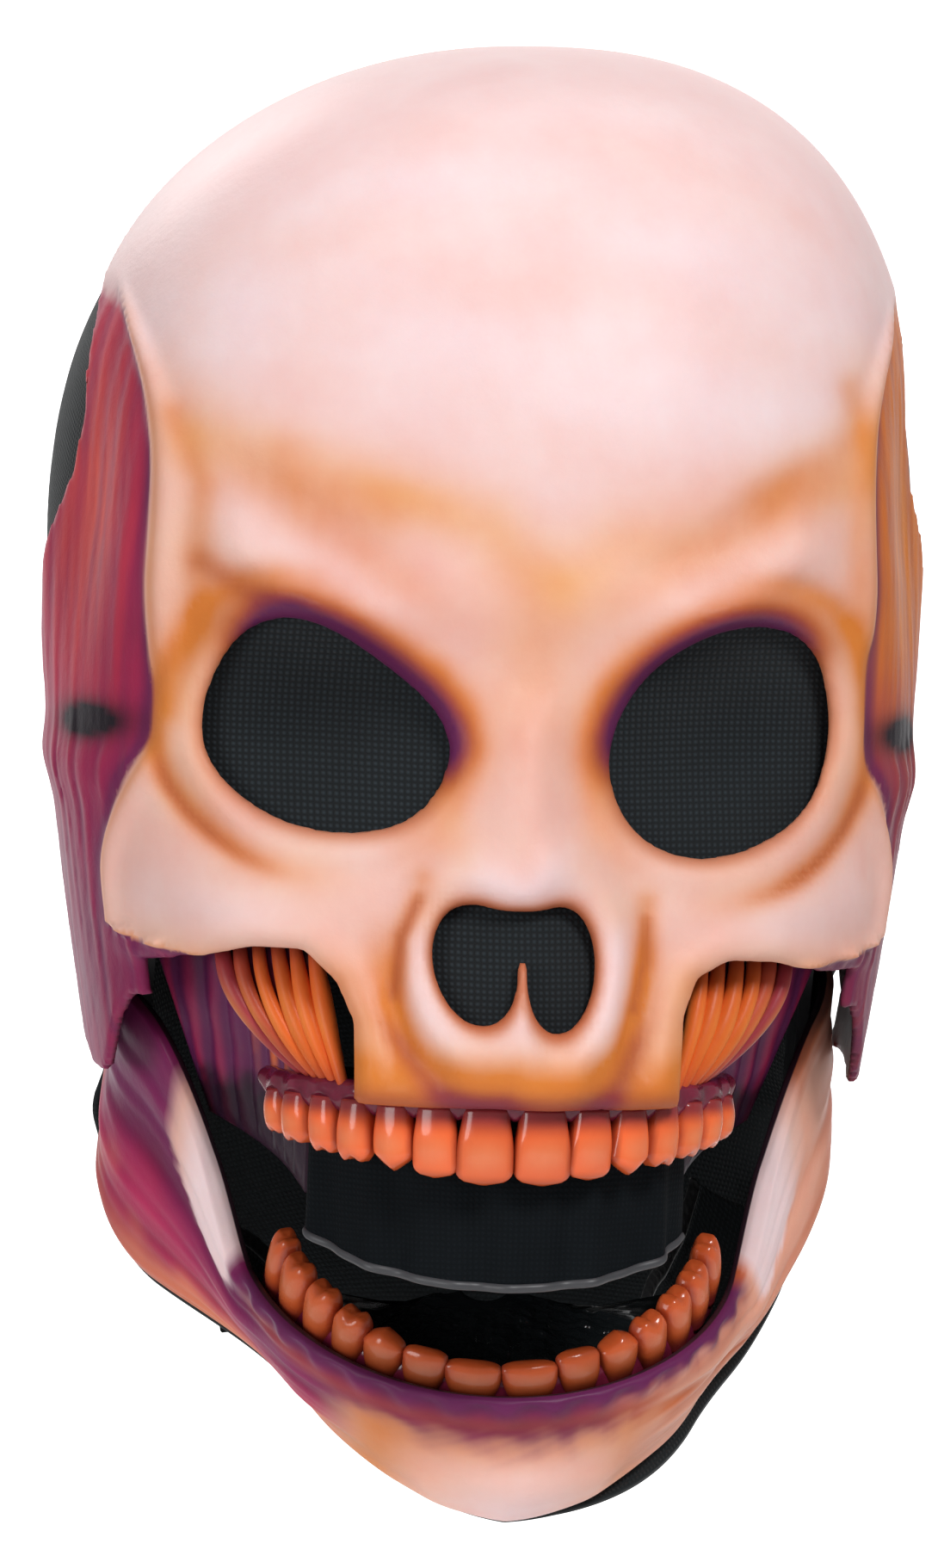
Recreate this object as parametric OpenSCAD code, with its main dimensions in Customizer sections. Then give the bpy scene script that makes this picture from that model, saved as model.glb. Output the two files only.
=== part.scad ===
// Latex skull mask with a hinged jaw, a black cloth hood and an inside head strap.
// Millimetres. +Z is up, the face looks along -Y, and the origin is the middle of the
// wearer's head at eye level.

/* [Head] */
// Half of the width at the temples
head_w = 95; // [90:1:100]
// Depth from the origin to the forehead
head_front = 90; // [85:1:95]
// Depth from the origin to the back of the hood
head_back = 110; // [104:1:116]
// Height of the crown above eye level
crown_z = 138; // [132:1:144]
// Sideways lean of the hand-cast crown
crown_lean = 10; // [0:1:12]

/* [Latex] */
// Wall of the skull casting
latex_t = 2.5; // [2:0.1:3]
// Wall of the jaw casting
jaw_t = 3; // [2.5:0.1:3.5]
// Height of the lower edge of the upper jaw
maxilla_z = -77; // [-78:1:-75]

/* [Jaw] */
// How far the jaw hangs open at rest, in degrees
open_angle = 32; // [24:1:33]
// Outer radius of the upper dental arch
arch_r = 51; // [49:1:52]
// Sideways skew of the hand-cast chin
jaw_skew = 6; // [0:1:7]
// Number of teeth on each side of each row
teeth_per_side = 7; // [5:1:7]

/* [Cloth] */
// Thickness of the hood cloth
cloth_t = 1.4; // [1:0.1:1.8]
// Width of the head strap
strap_w = 25; // [20:1:28]

/* [Hidden] */

// The head form: a superellipse in plan, closed above widest_z by a superellipsoid dome.
power = 2.3;
widest_z = 30;
form_bottom = -148;
face_step = 5;    // degrees between the columns of the face
rear_step = 15;   // degrees between the columns of the back
lower_rows = 27;
dome_rows = 9;
glue = 0.2;       // gap left between layers that are bonded

// Jaw hinge, seen on the +X side: the stack runs outwards from the pin's head
hinge_y = -5;
hinge_z = -48;
pin_r = 2.5;
pin_play = 0.06;
arm_x = 68.6;     // inner face of the jaw arm
arm_t = 2.4;
arm_play = 0.3;   // gap on each side of the arm
plate_x = 78.2;   // inner face of the hinge plate's disc
plate_t = 2;
plate_r = 13;

// Dental arches, as they stand with the jaw closed
arch_y = -48;     // centre of both arches
gum_z = -75;
upper_edge_z = -93;
edge_rise = 1.2;  // how much higher each tooth's edge is than its neighbour's nearer the middle
bite_gap = 1;
lower_arch_inset = 2;
lower_gum_z = -103;
tooth_d = 6;

// Jaw casting, as it stands with the jaw closed
jaw_w = 77.5;
jaw_len = 110;
jaw_y = 12;
jaw_rear = 88;    // angle in plan at which the casting ends
jaw_top_z = -98;
ramus_top_z = -56;
chin_z = -134;

// Rear edge of the latex in the side view: it sweeps forward at the temple
latex_edge = [
    [22, -150], [20, -40], [12, -5], [4, 28], [-12, 48], [-16, 62], [-12, 76], [2, 94], [22, 122], [40, 160]
];
skirt_z = -76;    // lower edge of the cheek flesh over the hinge
skirt_y = -50;    // its front edge
hood_lap = 11;    // hood cloth glued under the latex
hood_bottom = -140;
flap_bottom = -83;   // lower end of the closure flap and its strips
slit_top = -5;    // top of the closure slit

strap_z = 12;
strap_back_y = 82;
strap_t = 1.2;

function spow(v, p) = sign(v) * pow(abs(v), p);
function bump(v, centre, width) = exp(-pow((v - centre) / width, 2));
function unit(v) = v / norm(v);
function mix(a, b, s) = a * (1 - s) + b * s;
function smooth(v, low, high) =
    let (s = min(1, max(0, (v - low) / (high - low)))) s * s * (3 - 2 * s);

// Half width, front depth and back depth of the form below its widest level
function form_w(z) = head_w - 11 * pow((widest_z - z) / 90, 1.3);
function form_f(z) = head_front + 2 * bump(z, -40, 40);
function form_b(z) = head_back - 30 * pow((widest_z - z) / 125, 1.5);
function lean(z) = crown_lean * pow(max(0, (z - 60) / (crown_z - 60)), 2);

// Relief of the face: how far the surface stands out from the plain form at x, y, z
function relief(x, y, z) =
    let (a = abs(x), front = smooth(-y, 20, 50))
    front * (
        5 * bump(z, 27, 9) * bump(a, 34, 26)
        - 11 * bump(z, -1, 19) * bump(a, 41, 22)
        + 5 * bump(z, -18, 24) * bump(a, 0, 12)
        + 6 * bump(z, -50, 12) * bump(a, 0, 17)
        + 10.5 * smooth(-z, 42, 72) * bump(a, 0, 35)
        + 5 * bump(z, -37, 11) * bump(a, 58, 17)
    )
    - 7 * bump(z, 44, 38) * bump(y, -28, 24) * smooth(a, 55, 80);

// A point of the form at column angle f, with its plan scaled by s, moved out by off
function form_point(f, z, w, d, off) =
    let (
        x = w * spow(sin(f), 2 / power),
        y = -d * spow(cos(f), 2 / power),
        r = norm([x, y]),
        out = off + relief(x, y, z)
    )
    [x * (1 + out / r) + lean(z), y * (1 + out / r), z];

column_angles = [
    for (f = [-90 : face_step : 90]) f,
    for (f = [90 + rear_step : rear_step : 270 - rear_step]) f
];
function depth_at(f, z) = cos(f) >= 0 ? form_f(z) : form_b(z);
function lower_ring(z, off) =
    [for (f = column_angles) form_point(f, z, form_w(z), depth_at(f, z), off)];
function dome_ring(t, off) =
    let (
        s = pow(cos(t), 2 / power),
        z = widest_z + (crown_z - widest_z + off) * pow(sin(t), 2 / power)
    )
    [for (f = column_angles)
        let (d = cos(f) >= 0 ? head_front : head_back)
        let (p = form_point(f, z, (head_w + off) * s, (d + off) * s, 0)) p];

// Solid form, moved out or in by off
module form(off) {
    n = len(column_angles);
    step = (widest_z - form_bottom) / lower_rows;
    rings = concat(
        [for (i = [0 : lower_rows - 1]) lower_ring(form_bottom + i * step, off)],
        [for (i = [0 : dome_rows - 1]) dome_ring(84 * i / dome_rows, off)]
    );
    rows = len(rings);
    top = rows * n;
    polyhedron(
        points = concat(
            [for (ring = rings) each ring],
            [[lean(crown_z), 0, crown_z + off], [0, 0, form_bottom]]
        ),
        faces = concat(
            [for (i = [0 : rows - 2], j = [0 : n - 1])
                [i * n + j, (i + 1) * n + j, (i + 1) * n + (j + 1) % n]],
            [for (i = [0 : rows - 2], j = [0 : n - 1])
                [i * n + j, (i + 1) * n + (j + 1) % n, i * n + (j + 1) % n]],
            [for (j = [0 : n - 1]) [(rows - 1) * n + j, top, (rows - 1) * n + (j + 1) % n]],
            [for (j = [0 : n - 1]) [j, (j + 1) % n, top + 1]]
        ),
        convexity = 6
    );
}

// Layer of the form between two offsets, kept where the children are
module layer(outer, inner) {
    minkowski() intersection() {
        difference() {
            form(outer);
            form(inner);
        }
        children();
    }
}

// Prism along Y of a shape drawn in the front view, from y0 back to y1
module from_front(y0, y1) {
    translate([0, y1, 0]) rotate([90, 0, 0]) linear_extrude(y1 - y0) children();
}

// Prism along X of a shape drawn in the side view (y right, z up), from x0 to x1
module from_side(x0, x1) {
    translate([x0, 0, 0]) rotate([90, 0, 90]) linear_extrude(x1 - x0) children();
}

// Eye hole, with its slanted brow side: side is -1 for the wearer's right eye
module eye_outline(side, grow = 0) {
    hull() {
        for (c = [[50, 12, 11], [29, -1, 12], [38, -10, 13], [54, -5, 11]])
            translate([side * c[0], c[1]]) circle(c[2] + grow, $fn = 32);
    }
}

// Pear-shaped nose hole
module nose_outline(grow = 0) {
    hull() {
        for (c = [[-9, -45, 9], [8, -45, 9], [-9, -53, 8], [8, -54, 7]])
            translate([c[0], c[1]]) circle(c[2] + grow, $fn = 28);
    }
}

module nose_septum() {
    polygon([[-4, -66], [5, -66], [1.2, -50], [0.6, -43], [-0.4, -50]]);
}

// What lies under the cheekbones and the upper jaw in the front view
module under_face() {
    for (side = [-1, 1])
        polygon([for (p = [[110, -50], [84, -51], [66, -50], [50, -46], [42, -47],
                           [37, -52], [34, -60], [33, maxilla_z], [0, maxilla_z],
                           [0, -130], [110, -130]]) [side * p[0], p[1]]]);
}

// Region in front of the rear edge of the latex, moved back by extra
module before_edge(extra = 0) {
    from_side(-130, 130) polygon(concat(
        [[-150, -150]], [for (p = latex_edge) [p[0] + extra, p[1]]], [[-150, 160]]
    ));
}

// Circular wall of an arch: radius r outside, wall t, over plus and minus half degrees
module arch_wall(r, t, z0, z1, half) {
    translate([0, arch_y, z0])
        rotate([0, 0, -90 - half])
            rotate_extrude(angle = 2 * half, $fn = 72)
                translate([r - t, 0]) square([t, z1 - z0]);
}

module skull_shell() {
    color("mistyrose") minkowski() intersection() {
        difference() {
            form(0);
            form(-latex_t);
            from_front(-130, skirt_y) under_face();
            translate([-130, -150, -170]) cube([260, 300, 170 + skirt_z - 1]);
            for (side = [-1, 1]) from_front(-130, 0) eye_outline(side);
            from_front(-130, 0) difference() {
                nose_outline();
                nose_septum();
            }
        }
        before_edge();
    }
}

// Widths of the teeth of one side, from the middle out
tooth_widths = [12.4, 10, 9.6, 9, 9, 9.6, 8];
function tooth_start(i) = i == 0 ? 0 : tooth_start(i - 1) + tooth_widths[i - 1];
function tooth_angle(i, r) = (tooth_start(i) + tooth_widths[i] / 2) / r * 180 / PI;

// One tooth: a prism with round sides, standing on the arch of radius r
module tooth(r, angle, w, z0, z1) {
    translate([0, arch_y, z0]) rotate([0, 0, angle]) translate([0, -r + tooth_d / 2, 0])
        linear_extrude(z1 - z0) {
            square([w - tooth_d + 0.4, tooth_d], center = true);
            for (side = [-1, 1])
                translate([side * (w - tooth_d) / 2, 0]) circle(tooth_d / 2 - 0.1, $fn = 24);
        }
}

// Teeth of both sides: the ends that bite stand at edge_z, higher towards the back
module tooth_row(r, edge_z, root_z) {
    for (side = [-1, 1], i = [0 : teeth_per_side - 1])
        let (z = edge_z + edge_rise * i)
            tooth(r, side * tooth_angle(i, r), tooth_widths[i] - 0.4, min(z, root_z), max(z, root_z));
}

module upper_teeth() {
    color("coral") {
        arch_wall(arch_r - 1.2, 3, gum_z - 4, gum_z + 6, 80);
        tooth_row(arch_r, upper_edge_z, gum_z - 2);
    }
}

module open_jaw() {
    translate([0, hinge_y, hinge_z]) rotate([open_angle, 0, 0])
        translate([0, -hinge_y, -hinge_z]) children();
}

module lower_teeth() {
    color("chocolate") open_jaw() translate([jaw_skew / 2, 0, 0]) {
        arch_wall(arch_r - lower_arch_inset - 1.2, 3, lower_gum_z - 6, lower_gum_z + 3, 82);
        tooth_row(arch_r - lower_arch_inset, upper_edge_z - bite_gap, lower_gum_z);
    }
}

module left_eye_mesh() {
    color("black") layer(-latex_t - glue, -latex_t - glue - 0.8)
        from_front(-130, -20) eye_outline(1, 5);
}

module right_eye_mesh() {
    color("black") layer(-latex_t - glue, -latex_t - glue - 0.8)
        from_front(-130, -20) eye_outline(-1, 5);
}

module nose_mesh() {
    color("black") layer(-latex_t - glue, -latex_t - glue - 0.8)
        from_front(-130, -60) nose_outline(4);
}

// Black cloth that hangs behind the upper teeth and ends above the jaw's floor
module mouth_screen() {
    color("black") translate([0, arch_y, 0]) rotate([0, 0, -90 - 71])
        rotate_extrude(angle = 142, $fn = 72)
            translate([arch_r - 9.4, -116]) square([0.9, 46]);
}

// Solid between two grids of points, rows by columns, outer first
module slab(outer, inner) {
    rows = len(outer);
    n = len(outer[0]);
    all = rows * n;
    polyhedron(
        points = concat([for (row = outer) each row], [for (row = inner) each row]),
        faces = concat(
            [for (i = [0 : rows - 2], j = [0 : n - 2])
                each [[i * n + j, i * n + j + 1, (i + 1) * n + j + 1],
                      [i * n + j, (i + 1) * n + j + 1, (i + 1) * n + j]]],
            [for (i = [0 : rows - 2], j = [0 : n - 2])
                each [[all + i * n + j, all + (i + 1) * n + j + 1, all + i * n + j + 1],
                      [all + i * n + j, all + (i + 1) * n + j, all + (i + 1) * n + j + 1]]],
            [for (j = [0 : n - 2])
                each [[j, all + j, all + j + 1], [j, all + j + 1, j + 1]]],
            [for (j = [0 : n - 2]) let (k = (rows - 1) * n + j)
                each [[k, k + 1, all + k + 1], [k, all + k + 1, all + k]]],
            [for (i = [0 : rows - 2])
                each [[i * n, (i + 1) * n, all + (i + 1) * n],
                      [i * n, all + (i + 1) * n, all + i * n]]],
            [for (i = [0 : rows - 2]) let (k = i * n + n - 1)
                each [[k, all + k + n, k + n], [k, all + k, all + k + n]]]
        ),
        convexity = 8
    );
}

// Flexible latex skin that closes the hollow under a cheekbone, seen on the +X side
function web_point(u, v, off) =
    let (bow = 6 * sin(180 * u) * (0.3 + 0.7 * v))
    [41 + 30 * u - 2 * v - 12 * u * v - bow * 0.5 - off * 0.8,
     -72 + 44 * u + 24 * v * (1 - 0.6 * u) + bow * 0.4 + off * 0.6,
     -48 - (52 - 14 * u) * v];
module cheek_web(side) {
    shares = [0 : 0.125 : 1];
    function across(u) = side > 0 ? u : 1 - u;
    function turned(p) = [side * p[0], p[1], p[2]];
    slab([for (v = shares) [for (u = shares) turned(web_point(across(u), v, 0))]],
         [for (v = shares) [for (u = shares) turned(web_point(across(u), v, 1.5))]]);
}

module left_cheek_web() {
    color("purple") cheek_web(1);
}

module right_cheek_web() {
    color("purple") cheek_web(-1);
}

// Places a part drawn on the +X side on either side
module on_side(side) {
    mirror([side > 0 ? 0 : 1, 0, 0]) children();
}

module x_cylinder(x0, x1, r) {
    translate([x0, hinge_y, hinge_z]) rotate([0, 90, 0]) cylinder(x1 - x0, r = r, $fn = 64);
}

// Foam glue pad that fills the space between a hinge plate and the latex
module hinge_pad(side) {
    layer(-latex_t - glue, -latex_t - 8)
        on_side(side) x_cylinder(plate_x + plate_t, 100, plate_r);
}

module left_hinge_pad() {
    color("gray") hinge_pad(1);
}

module right_hinge_pad() {
    color("gray") hinge_pad(-1);
}

module hinge_plate(side) {
    on_side(side) difference() {
        union() {
            x_cylinder(plate_x, plate_x + plate_t, plate_r);
            x_cylinder(arm_x + arm_t + arm_play, plate_x + 0.1, 6);
        }
        x_cylinder(arm_x, plate_x + 1, pin_r);
    }
}

module left_hinge_plate() {
    color("dimgray") hinge_plate(1);
}

module right_hinge_plate() {
    color("dimgray") hinge_plate(-1);
}

module pivot_pin(side) {
    on_side(side) {
        x_cylinder(arm_x - 1.4, plate_x + 1, pin_r);
        x_cylinder(arm_x - 3, arm_x - 1.4, 5);
    }
}

module left_pivot_pin() {
    color("silver") pivot_pin(1);
}

module right_pivot_pin() {
    color("silver") pivot_pin(-1);
}

module pivot_washer(side) {
    on_side(side) difference() {
        x_cylinder(arm_x - 1.3, arm_x - arm_play, 6.5);
        x_cylinder(arm_x - 2, arm_x + 1, pin_r + 0.15);
    }
}

module left_pivot_washer() {
    color("white") pivot_washer(1);
}

module right_pivot_washer() {
    color("white") pivot_washer(-1);
}

module forehead_pad() {
    color("gray") layer(-latex_t - glue, -latex_t - 8)
        from_front(-130, -20) translate([-42, 44]) square([84, 26]);
}

module crown_pad() {
    color("gray") layer(-latex_t - glue, -latex_t - 9)
        translate([lean(crown_z) - 32, -66, 90]) cube([64, 58, 60]);
}

module temple_pad(side) {
    layer(-latex_t - glue, -latex_t - 7)
        on_side(side) from_side(55, 120) translate([-57, 32]) square([28, 42]);
}

module left_temple_pad() {
    color("gray") temple_pad(1);
}

module right_temple_pad() {
    color("gray") temple_pad(-1);
}

// Rear cloth of the hood, whose lower front corner is cut back to clear the jaw
module hood_half(side) {
    layer(-latex_t - glue, -latex_t - glue - cloth_t) difference() {
        translate([side > 0 ? 0.3 : -130, -30, hood_bottom]) cube([129.7, 160, 240]);
        before_edge(-hood_lap);
        from_side(-130, 130)
            polygon([[-40, -38], [8, -38], [45, -84], [45, -160], [-40, -160]]);
    }
}

module hood_left() {
    color("black") hood_half(1);
}

module hood_right() {
    color("black") hood_half(-1);
}

// Tape that joins the two halves down to the top of the slit
module hood_centre_tape() {
    color("black") layer(-latex_t + 0.6, -latex_t)
        translate([-6, 45, slit_top + 4]) cube([12, 90, 120]);
}

module hood_hem() {
    color("black") for (side = [0, 1])
        layer(-latex_t + 0.5, -latex_t)
            translate([side ? 0.6 : -130, 46, hood_bottom]) cube([129.4, 80, 9]);
}

module closure_loop_strip() {
    color("dimgray") layer(-latex_t + 0.9, -latex_t)
        translate([2, 45, flap_bottom]) cube([20, 90, slit_top - 4 - flap_bottom]);
}

// Cloth tab that closes the slit, sewn along its edge on the wearer's right half
module closure_flap() {
    color("black") layer(-latex_t + 4.4, -latex_t + 3)
        translate([-12, 45, flap_bottom]) cube([34, 90, slit_top - 4 - flap_bottom]);
}

module closure_hook_strip() {
    color("dimgray") layer(-latex_t + 2.8, -latex_t + 1.3)
        translate([2, 45, flap_bottom]) cube([20, 90, slit_top - 4 - flap_bottom]);
}

// Outer line of the elastic strap in plan: from one tab round behind the head to the other
strap_side = [
    [81.7, -29], [83.5, -20], [85, -6], [85, 16], [82, 36], [72, 58], [56, 74], [40, strap_back_y]
];
strap_line = concat(
    strap_side,
    [for (i = [len(strap_side) - 1 : -1 : 0]) [-strap_side[i][0], strap_side[i][1]]]
);
function inward(line, i) =
    let (d = unit(line[min(len(line) - 1, i + 1)] - line[max(0, i - 1)])) [-d[1], d[0]];

// Holes or shafts of the two rivets in each strap tab
module rivet_bars(x0, x1, r) {
    for (z = [-7, 7])
        translate([x0, -20, strap_z + z]) rotate([0, 90, 0]) cylinder(x1 - x0, r = r, $fn = 32);
}

module head_strap() {
    n = len(strap_line);
    color("dimgray") difference() {
        translate([0, 0, strap_z - strap_w / 2]) linear_extrude(strap_w)
            polygon(concat(
                strap_line,
                [for (i = [n - 1 : -1 : 0]) strap_line[i] + strap_t * inward(strap_line, i)]
            ));
        for (side = [-1, 1]) on_side(side) rivet_bars(60, 90, 2);
    }
}

module strap_tab(side) {
    on_side(side) difference() {
        mirror([side > 0 ? 0 : 1, 0, 0]) layer(-latex_t - glue, -latex_t - glue - 1.6)
            on_side(side) from_side(60, 120) translate([-32, strap_z - 15]) square([24, 30]);
        rivet_bars(60, 110, 2);
    }
}

module left_strap_tab() {
    color("black") strap_tab(1);
}

module right_strap_tab() {
    color("black") strap_tab(-1);
}

module strap_rivets() {
    color("silver") for (side = [-1, 1]) on_side(side) {
        rivet_bars(81, 85.4, 1.9);
        rivet_bars(79.8, 81.1, 4);
    }
}

module strap_slider() {
    color("black") translate([0, strap_back_y - strap_t * 0.3, strap_z]) difference() {
        cube([20, 5.4, strap_w + 8], center = true);
        cube([21, strap_t + 1, strap_w + 1.2], center = true);
    }
}

// A point of the jaw casting at plan angle a, at share v of the way from its top to its border
function jaw_outer(a, v) =
    let (
        g = abs(a),
        side = sign(a),
        back = smooth(g, 54, 76),
        along = min(90, g * 1.45),
        rim_r = arch_r + 3,
        top = [mix(rim_r * sin(along), jaw_w * sin(g), back),
               mix(arch_y - rim_r * cos(along), jaw_y - jaw_len * cos(g), back),
               mix(jaw_top_z, ramus_top_z, smooth(g, 54, 72))],
        low = [jaw_w * sin(g) * (0.73 + 0.27 * smooth(g, 44, 80)),
               jaw_y - (jaw_len - 2) * cos(g),
               chin_z + 12 * g / 90 + 26 * smooth(g, 68, jaw_rear + 8)],
        bulge = 3 * sin(180 * v) * (1 - back),
        p = mix(top, low, smooth(v, -0.35, 1.35) * 1.28 - 0.14)
    )
    [side * (p[0] - 3 * smooth(g, 78, jaw_rear)) + side * bulge * sin(g)
        + jaw_skew * (1 - back) * (0.5 + 0.5 * v),
     p[1] - bulge * cos(g), p[2]];
function jaw_point(a, v, inset) =
    let (
        along = jaw_outer(a + 1, v) - jaw_outer(a - 1, v),
        down = jaw_outer(a, v + 0.05) - jaw_outer(a, v - 0.05)
    )
    jaw_outer(a, v) + inset * unit(cross(along, down));

module jaw_shell() {
    angles = [for (i = [-15 : 15]) jaw_rear * i / 15];
    shares = [for (i = [0 : 6]) i / 6];
    color("bisque") open_jaw()
        slab([for (v = shares) [for (a = angles) jaw_point(a, v, 0)]],
             [for (v = shares) [for (a = angles) jaw_point(a, v, jaw_t)]]);
}

// Glossy black lining behind the lower teeth, a shallow tray
module mouth_floor() {
    color("black") open_jaw() translate([jaw_skew / 2, arch_y, lower_gum_z - 8])
        rotate([0, 0, -90 - 70]) rotate_extrude(angle = 140, $fn = 72)
            polygon([[14, 0], [42.6, 0], [42.6, 12], [41.4, 12], [41.4, 1.4], [14, 1.4]]);
}

// Nylon arm glued inside the jaw casting, which turns on the pivot pin
module jaw_arm(side) {
    foot_y = hinge_y - 2;
    foot_z = hinge_z - 38;
    on_side(side) open_jaw() difference() {
        from_side(arm_x, arm_x + arm_t) hull() {
            translate([hinge_y, hinge_z]) circle(9, $fn = 64);
            translate([foot_y, foot_z]) circle(7, $fn = 64);
        }
        x_cylinder(arm_x - 1, arm_x + arm_t + 1, pin_r + pin_play);
    }
}

module left_jaw_arm() {
    color("dimgray") jaw_arm(1);
}

module right_jaw_arm() {
    color("dimgray") jaw_arm(-1);
}

// Foam cup in the chin that carries the wearer's chin
module chin_cup() {
    color("gray") open_jaw() translate([jaw_skew / 2, arch_y + 4, chin_z + 5]) difference() {
        intersection() {
            cylinder(17, r = 37, $fn = 64);
            translate([-31, -42, -1]) cube([62, 35, 20]);
        }
        translate([0, 8, 5]) cylinder(20, r = 33, $fn = 64);
    }
}

// Cloth under the jaw, from its lower border back towards the throat
function throat_point(a, v, drop) =
    let (p = jaw_point(a, 1, 0.5 + 22 * v))
    [p[0], p[1] + 6 * v, min(p[2], jaw_outer(a, 1)[2]) - 0.8 - drop - 4 * sin(150 * v)];
module throat_panel() {
    angles = [for (a = [-78 : 6 : 78]) a];
    shares = [0 : 0.25 : 1];
    color("black") open_jaw()
        slab([for (v = shares) [for (a = angles) throat_point(a, v, 0)]],
             [for (v = shares) [for (a = angles) throat_point(a, v, cloth_t)]]);
}

// Elastic edging sewn along the free edge of the throat cloth
module throat_binding() {
    angles = [for (a = [-78 : 6 : 78]) a];
    color("dimgray") open_jaw()
        slab([for (v = [1.02, 1.12]) [for (a = angles) throat_point(a, v, -0.6)]],
             [for (v = [1.02, 1.12]) [for (a = angles) throat_point(a, v, cloth_t + 0.6)]]);
}

skull_shell();
upper_teeth();
left_eye_mesh();
right_eye_mesh();
nose_mesh();
mouth_screen();
left_cheek_web();
right_cheek_web();
left_hinge_pad();
right_hinge_pad();
left_hinge_plate();
right_hinge_plate();
left_pivot_pin();
right_pivot_pin();
left_pivot_washer();
right_pivot_washer();
forehead_pad();
crown_pad();
left_temple_pad();
right_temple_pad();
hood_left();
hood_right();
hood_centre_tape();
hood_hem();
closure_loop_strip();
head_strap();
left_strap_tab();
right_strap_tab();
strap_rivets();
strap_slider();
closure_flap();
closure_hook_strip();
jaw_shell();
lower_teeth();
mouth_floor();
left_jaw_arm();
right_jaw_arm();
chin_cup();
throat_panel();
throat_binding();
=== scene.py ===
"""Looks of a latex skull mask: hinged jaw, black cloth hood, mesh behind the holes, and a head strap.

The shapes are worked out in millimetres, in the frame of the CAD model, and turned into metres
when a mesh is made. +Z is up, the face looks along -Y, and +X is the wearer's left.
"""

import math

import bpy
import numpy as np
from mathutils import Matrix, Vector


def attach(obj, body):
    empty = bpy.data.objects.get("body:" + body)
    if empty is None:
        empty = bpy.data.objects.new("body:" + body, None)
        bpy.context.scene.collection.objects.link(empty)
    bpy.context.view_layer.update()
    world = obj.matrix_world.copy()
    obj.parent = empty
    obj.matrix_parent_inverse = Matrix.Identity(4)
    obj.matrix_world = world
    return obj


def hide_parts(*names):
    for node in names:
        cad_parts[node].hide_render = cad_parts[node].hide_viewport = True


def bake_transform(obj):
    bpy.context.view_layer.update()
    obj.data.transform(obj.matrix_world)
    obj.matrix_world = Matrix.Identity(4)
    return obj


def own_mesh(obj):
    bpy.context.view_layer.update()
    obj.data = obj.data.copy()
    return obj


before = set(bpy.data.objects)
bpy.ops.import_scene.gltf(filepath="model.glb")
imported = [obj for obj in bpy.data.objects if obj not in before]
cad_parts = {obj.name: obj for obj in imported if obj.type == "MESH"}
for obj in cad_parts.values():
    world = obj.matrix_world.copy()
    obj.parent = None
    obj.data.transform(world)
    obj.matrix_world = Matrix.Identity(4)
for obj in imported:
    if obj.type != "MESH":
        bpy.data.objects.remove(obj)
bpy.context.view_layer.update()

MM = 0.001

# ---------------------------------------------------------------- the form that the CAD model uses

POWER = 2.3
HEAD_W, HEAD_FRONT, HEAD_BACK = 95.0, 90.0, 110.0
WIDEST_Z, CROWN_Z, CROWN_LEAN, LEAN_FROM_Z = 30.0, 138.0, 10.0, 60.0
LATEX = 2.5
MAXILLA_Z = -77.0
SKIRT_Y, SKIRT_Z = -50.0, -76.0
LATEX_EDGE = [(22, -150), (20, -40), (12, -5), (4, 28), (-12, 48), (-16, 62), (-12, 76), (2, 94), (22, 122),
              (40, 160)]

HINGE_Y, HINGE_Z = -5.0, -48.0
HINGE_PLATE_X = 80.25  # face of the hinge plates that the foam is glued to
STRAP_Z, STRAP_HALF = 12, 12.2  # middle and half width of the elastic band
OPEN = math.radians(32)
ARCH_Y, ARCH_R = -48.0, 51.0
JAW_W, JAW_LEN, JAW_Y, JAW_REAR = 77.5, 110.0, 12.0, 88.0
JAW_TOP, RAMUS_TOP, CHIN_Z, JAW_SKEW, JAW_T = -98.0, -56.0, -134.0, 6.0, 3.0

# Paints, linear RGB
BONE = (0.84, 0.49, 0.42)
PALE = (0.86, 0.65, 0.66)
PEACH = (0.82, 0.40, 0.20)
ORANGE = (0.72, 0.22, 0.04)
RUST = (0.42, 0.075, 0.03)
FLESH = (0.46, 0.024, 0.085)
PURPLE = (0.13, 0.018, 0.085)
DARK = (0.012, 0.006, 0.012)


def bump(v, centre, width):
    """Smooth hump of height 1 around a centre."""
    return np.exp(-(((v - centre) / width) ** 2))


def smooth(v, low, high):
    s = np.clip((v - low) / (high - low), 0, 1)
    return s * s * (3 - 2 * s)


def mix(a, b, s):
    return a * (1 - s) + b * s


def smooth_max(a, b, k):
    h = np.clip(0.5 + 0.5 * (a - b) / k, 0, 1)
    return mix(b, a, h) + k * h * (1 - h)


def smooth_min(a, b, k):
    return -smooth_max(-a, -b, k)


def noise(p, scale, seed):
    """Smooth noise from -1 to 1 at points p: a few sine waves in seeded directions."""
    rng = np.random.default_rng(seed)
    total = np.zeros(p.shape[:-1])
    for octave in range(3):
        for _ in range(4):
            way = rng.normal(size=3)
            way *= 2 * math.pi * 2**octave / (scale * np.linalg.norm(way))
            total += np.sin(p @ way + rng.uniform(0, 2 * math.pi)) / 2**octave
    return total / 4.5


def polygon_distance(x, z, corners):
    """Signed distance to a polygon in a plane, negative inside."""
    far = np.full(np.broadcast(x, z).shape, 1e9)
    inside = np.zeros(far.shape, bool)
    for (ax, az), (bx, bz) in zip(corners, corners[1:] + corners[:1]):
        ex, ez = bx - ax, bz - az
        wx, wz = x - ax, z - az
        t = np.clip((wx * ex + wz * ez) / (ex * ex + ez * ez), 0, 1)
        far = np.minimum(far, np.hypot(wx - ex * t, wz - ez * t))
        if ez:
            inside ^= ((az > z) != (bz > z)) & (x < ex * (z - az) / ez + ax)
    return np.where(inside, -far, far)


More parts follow.
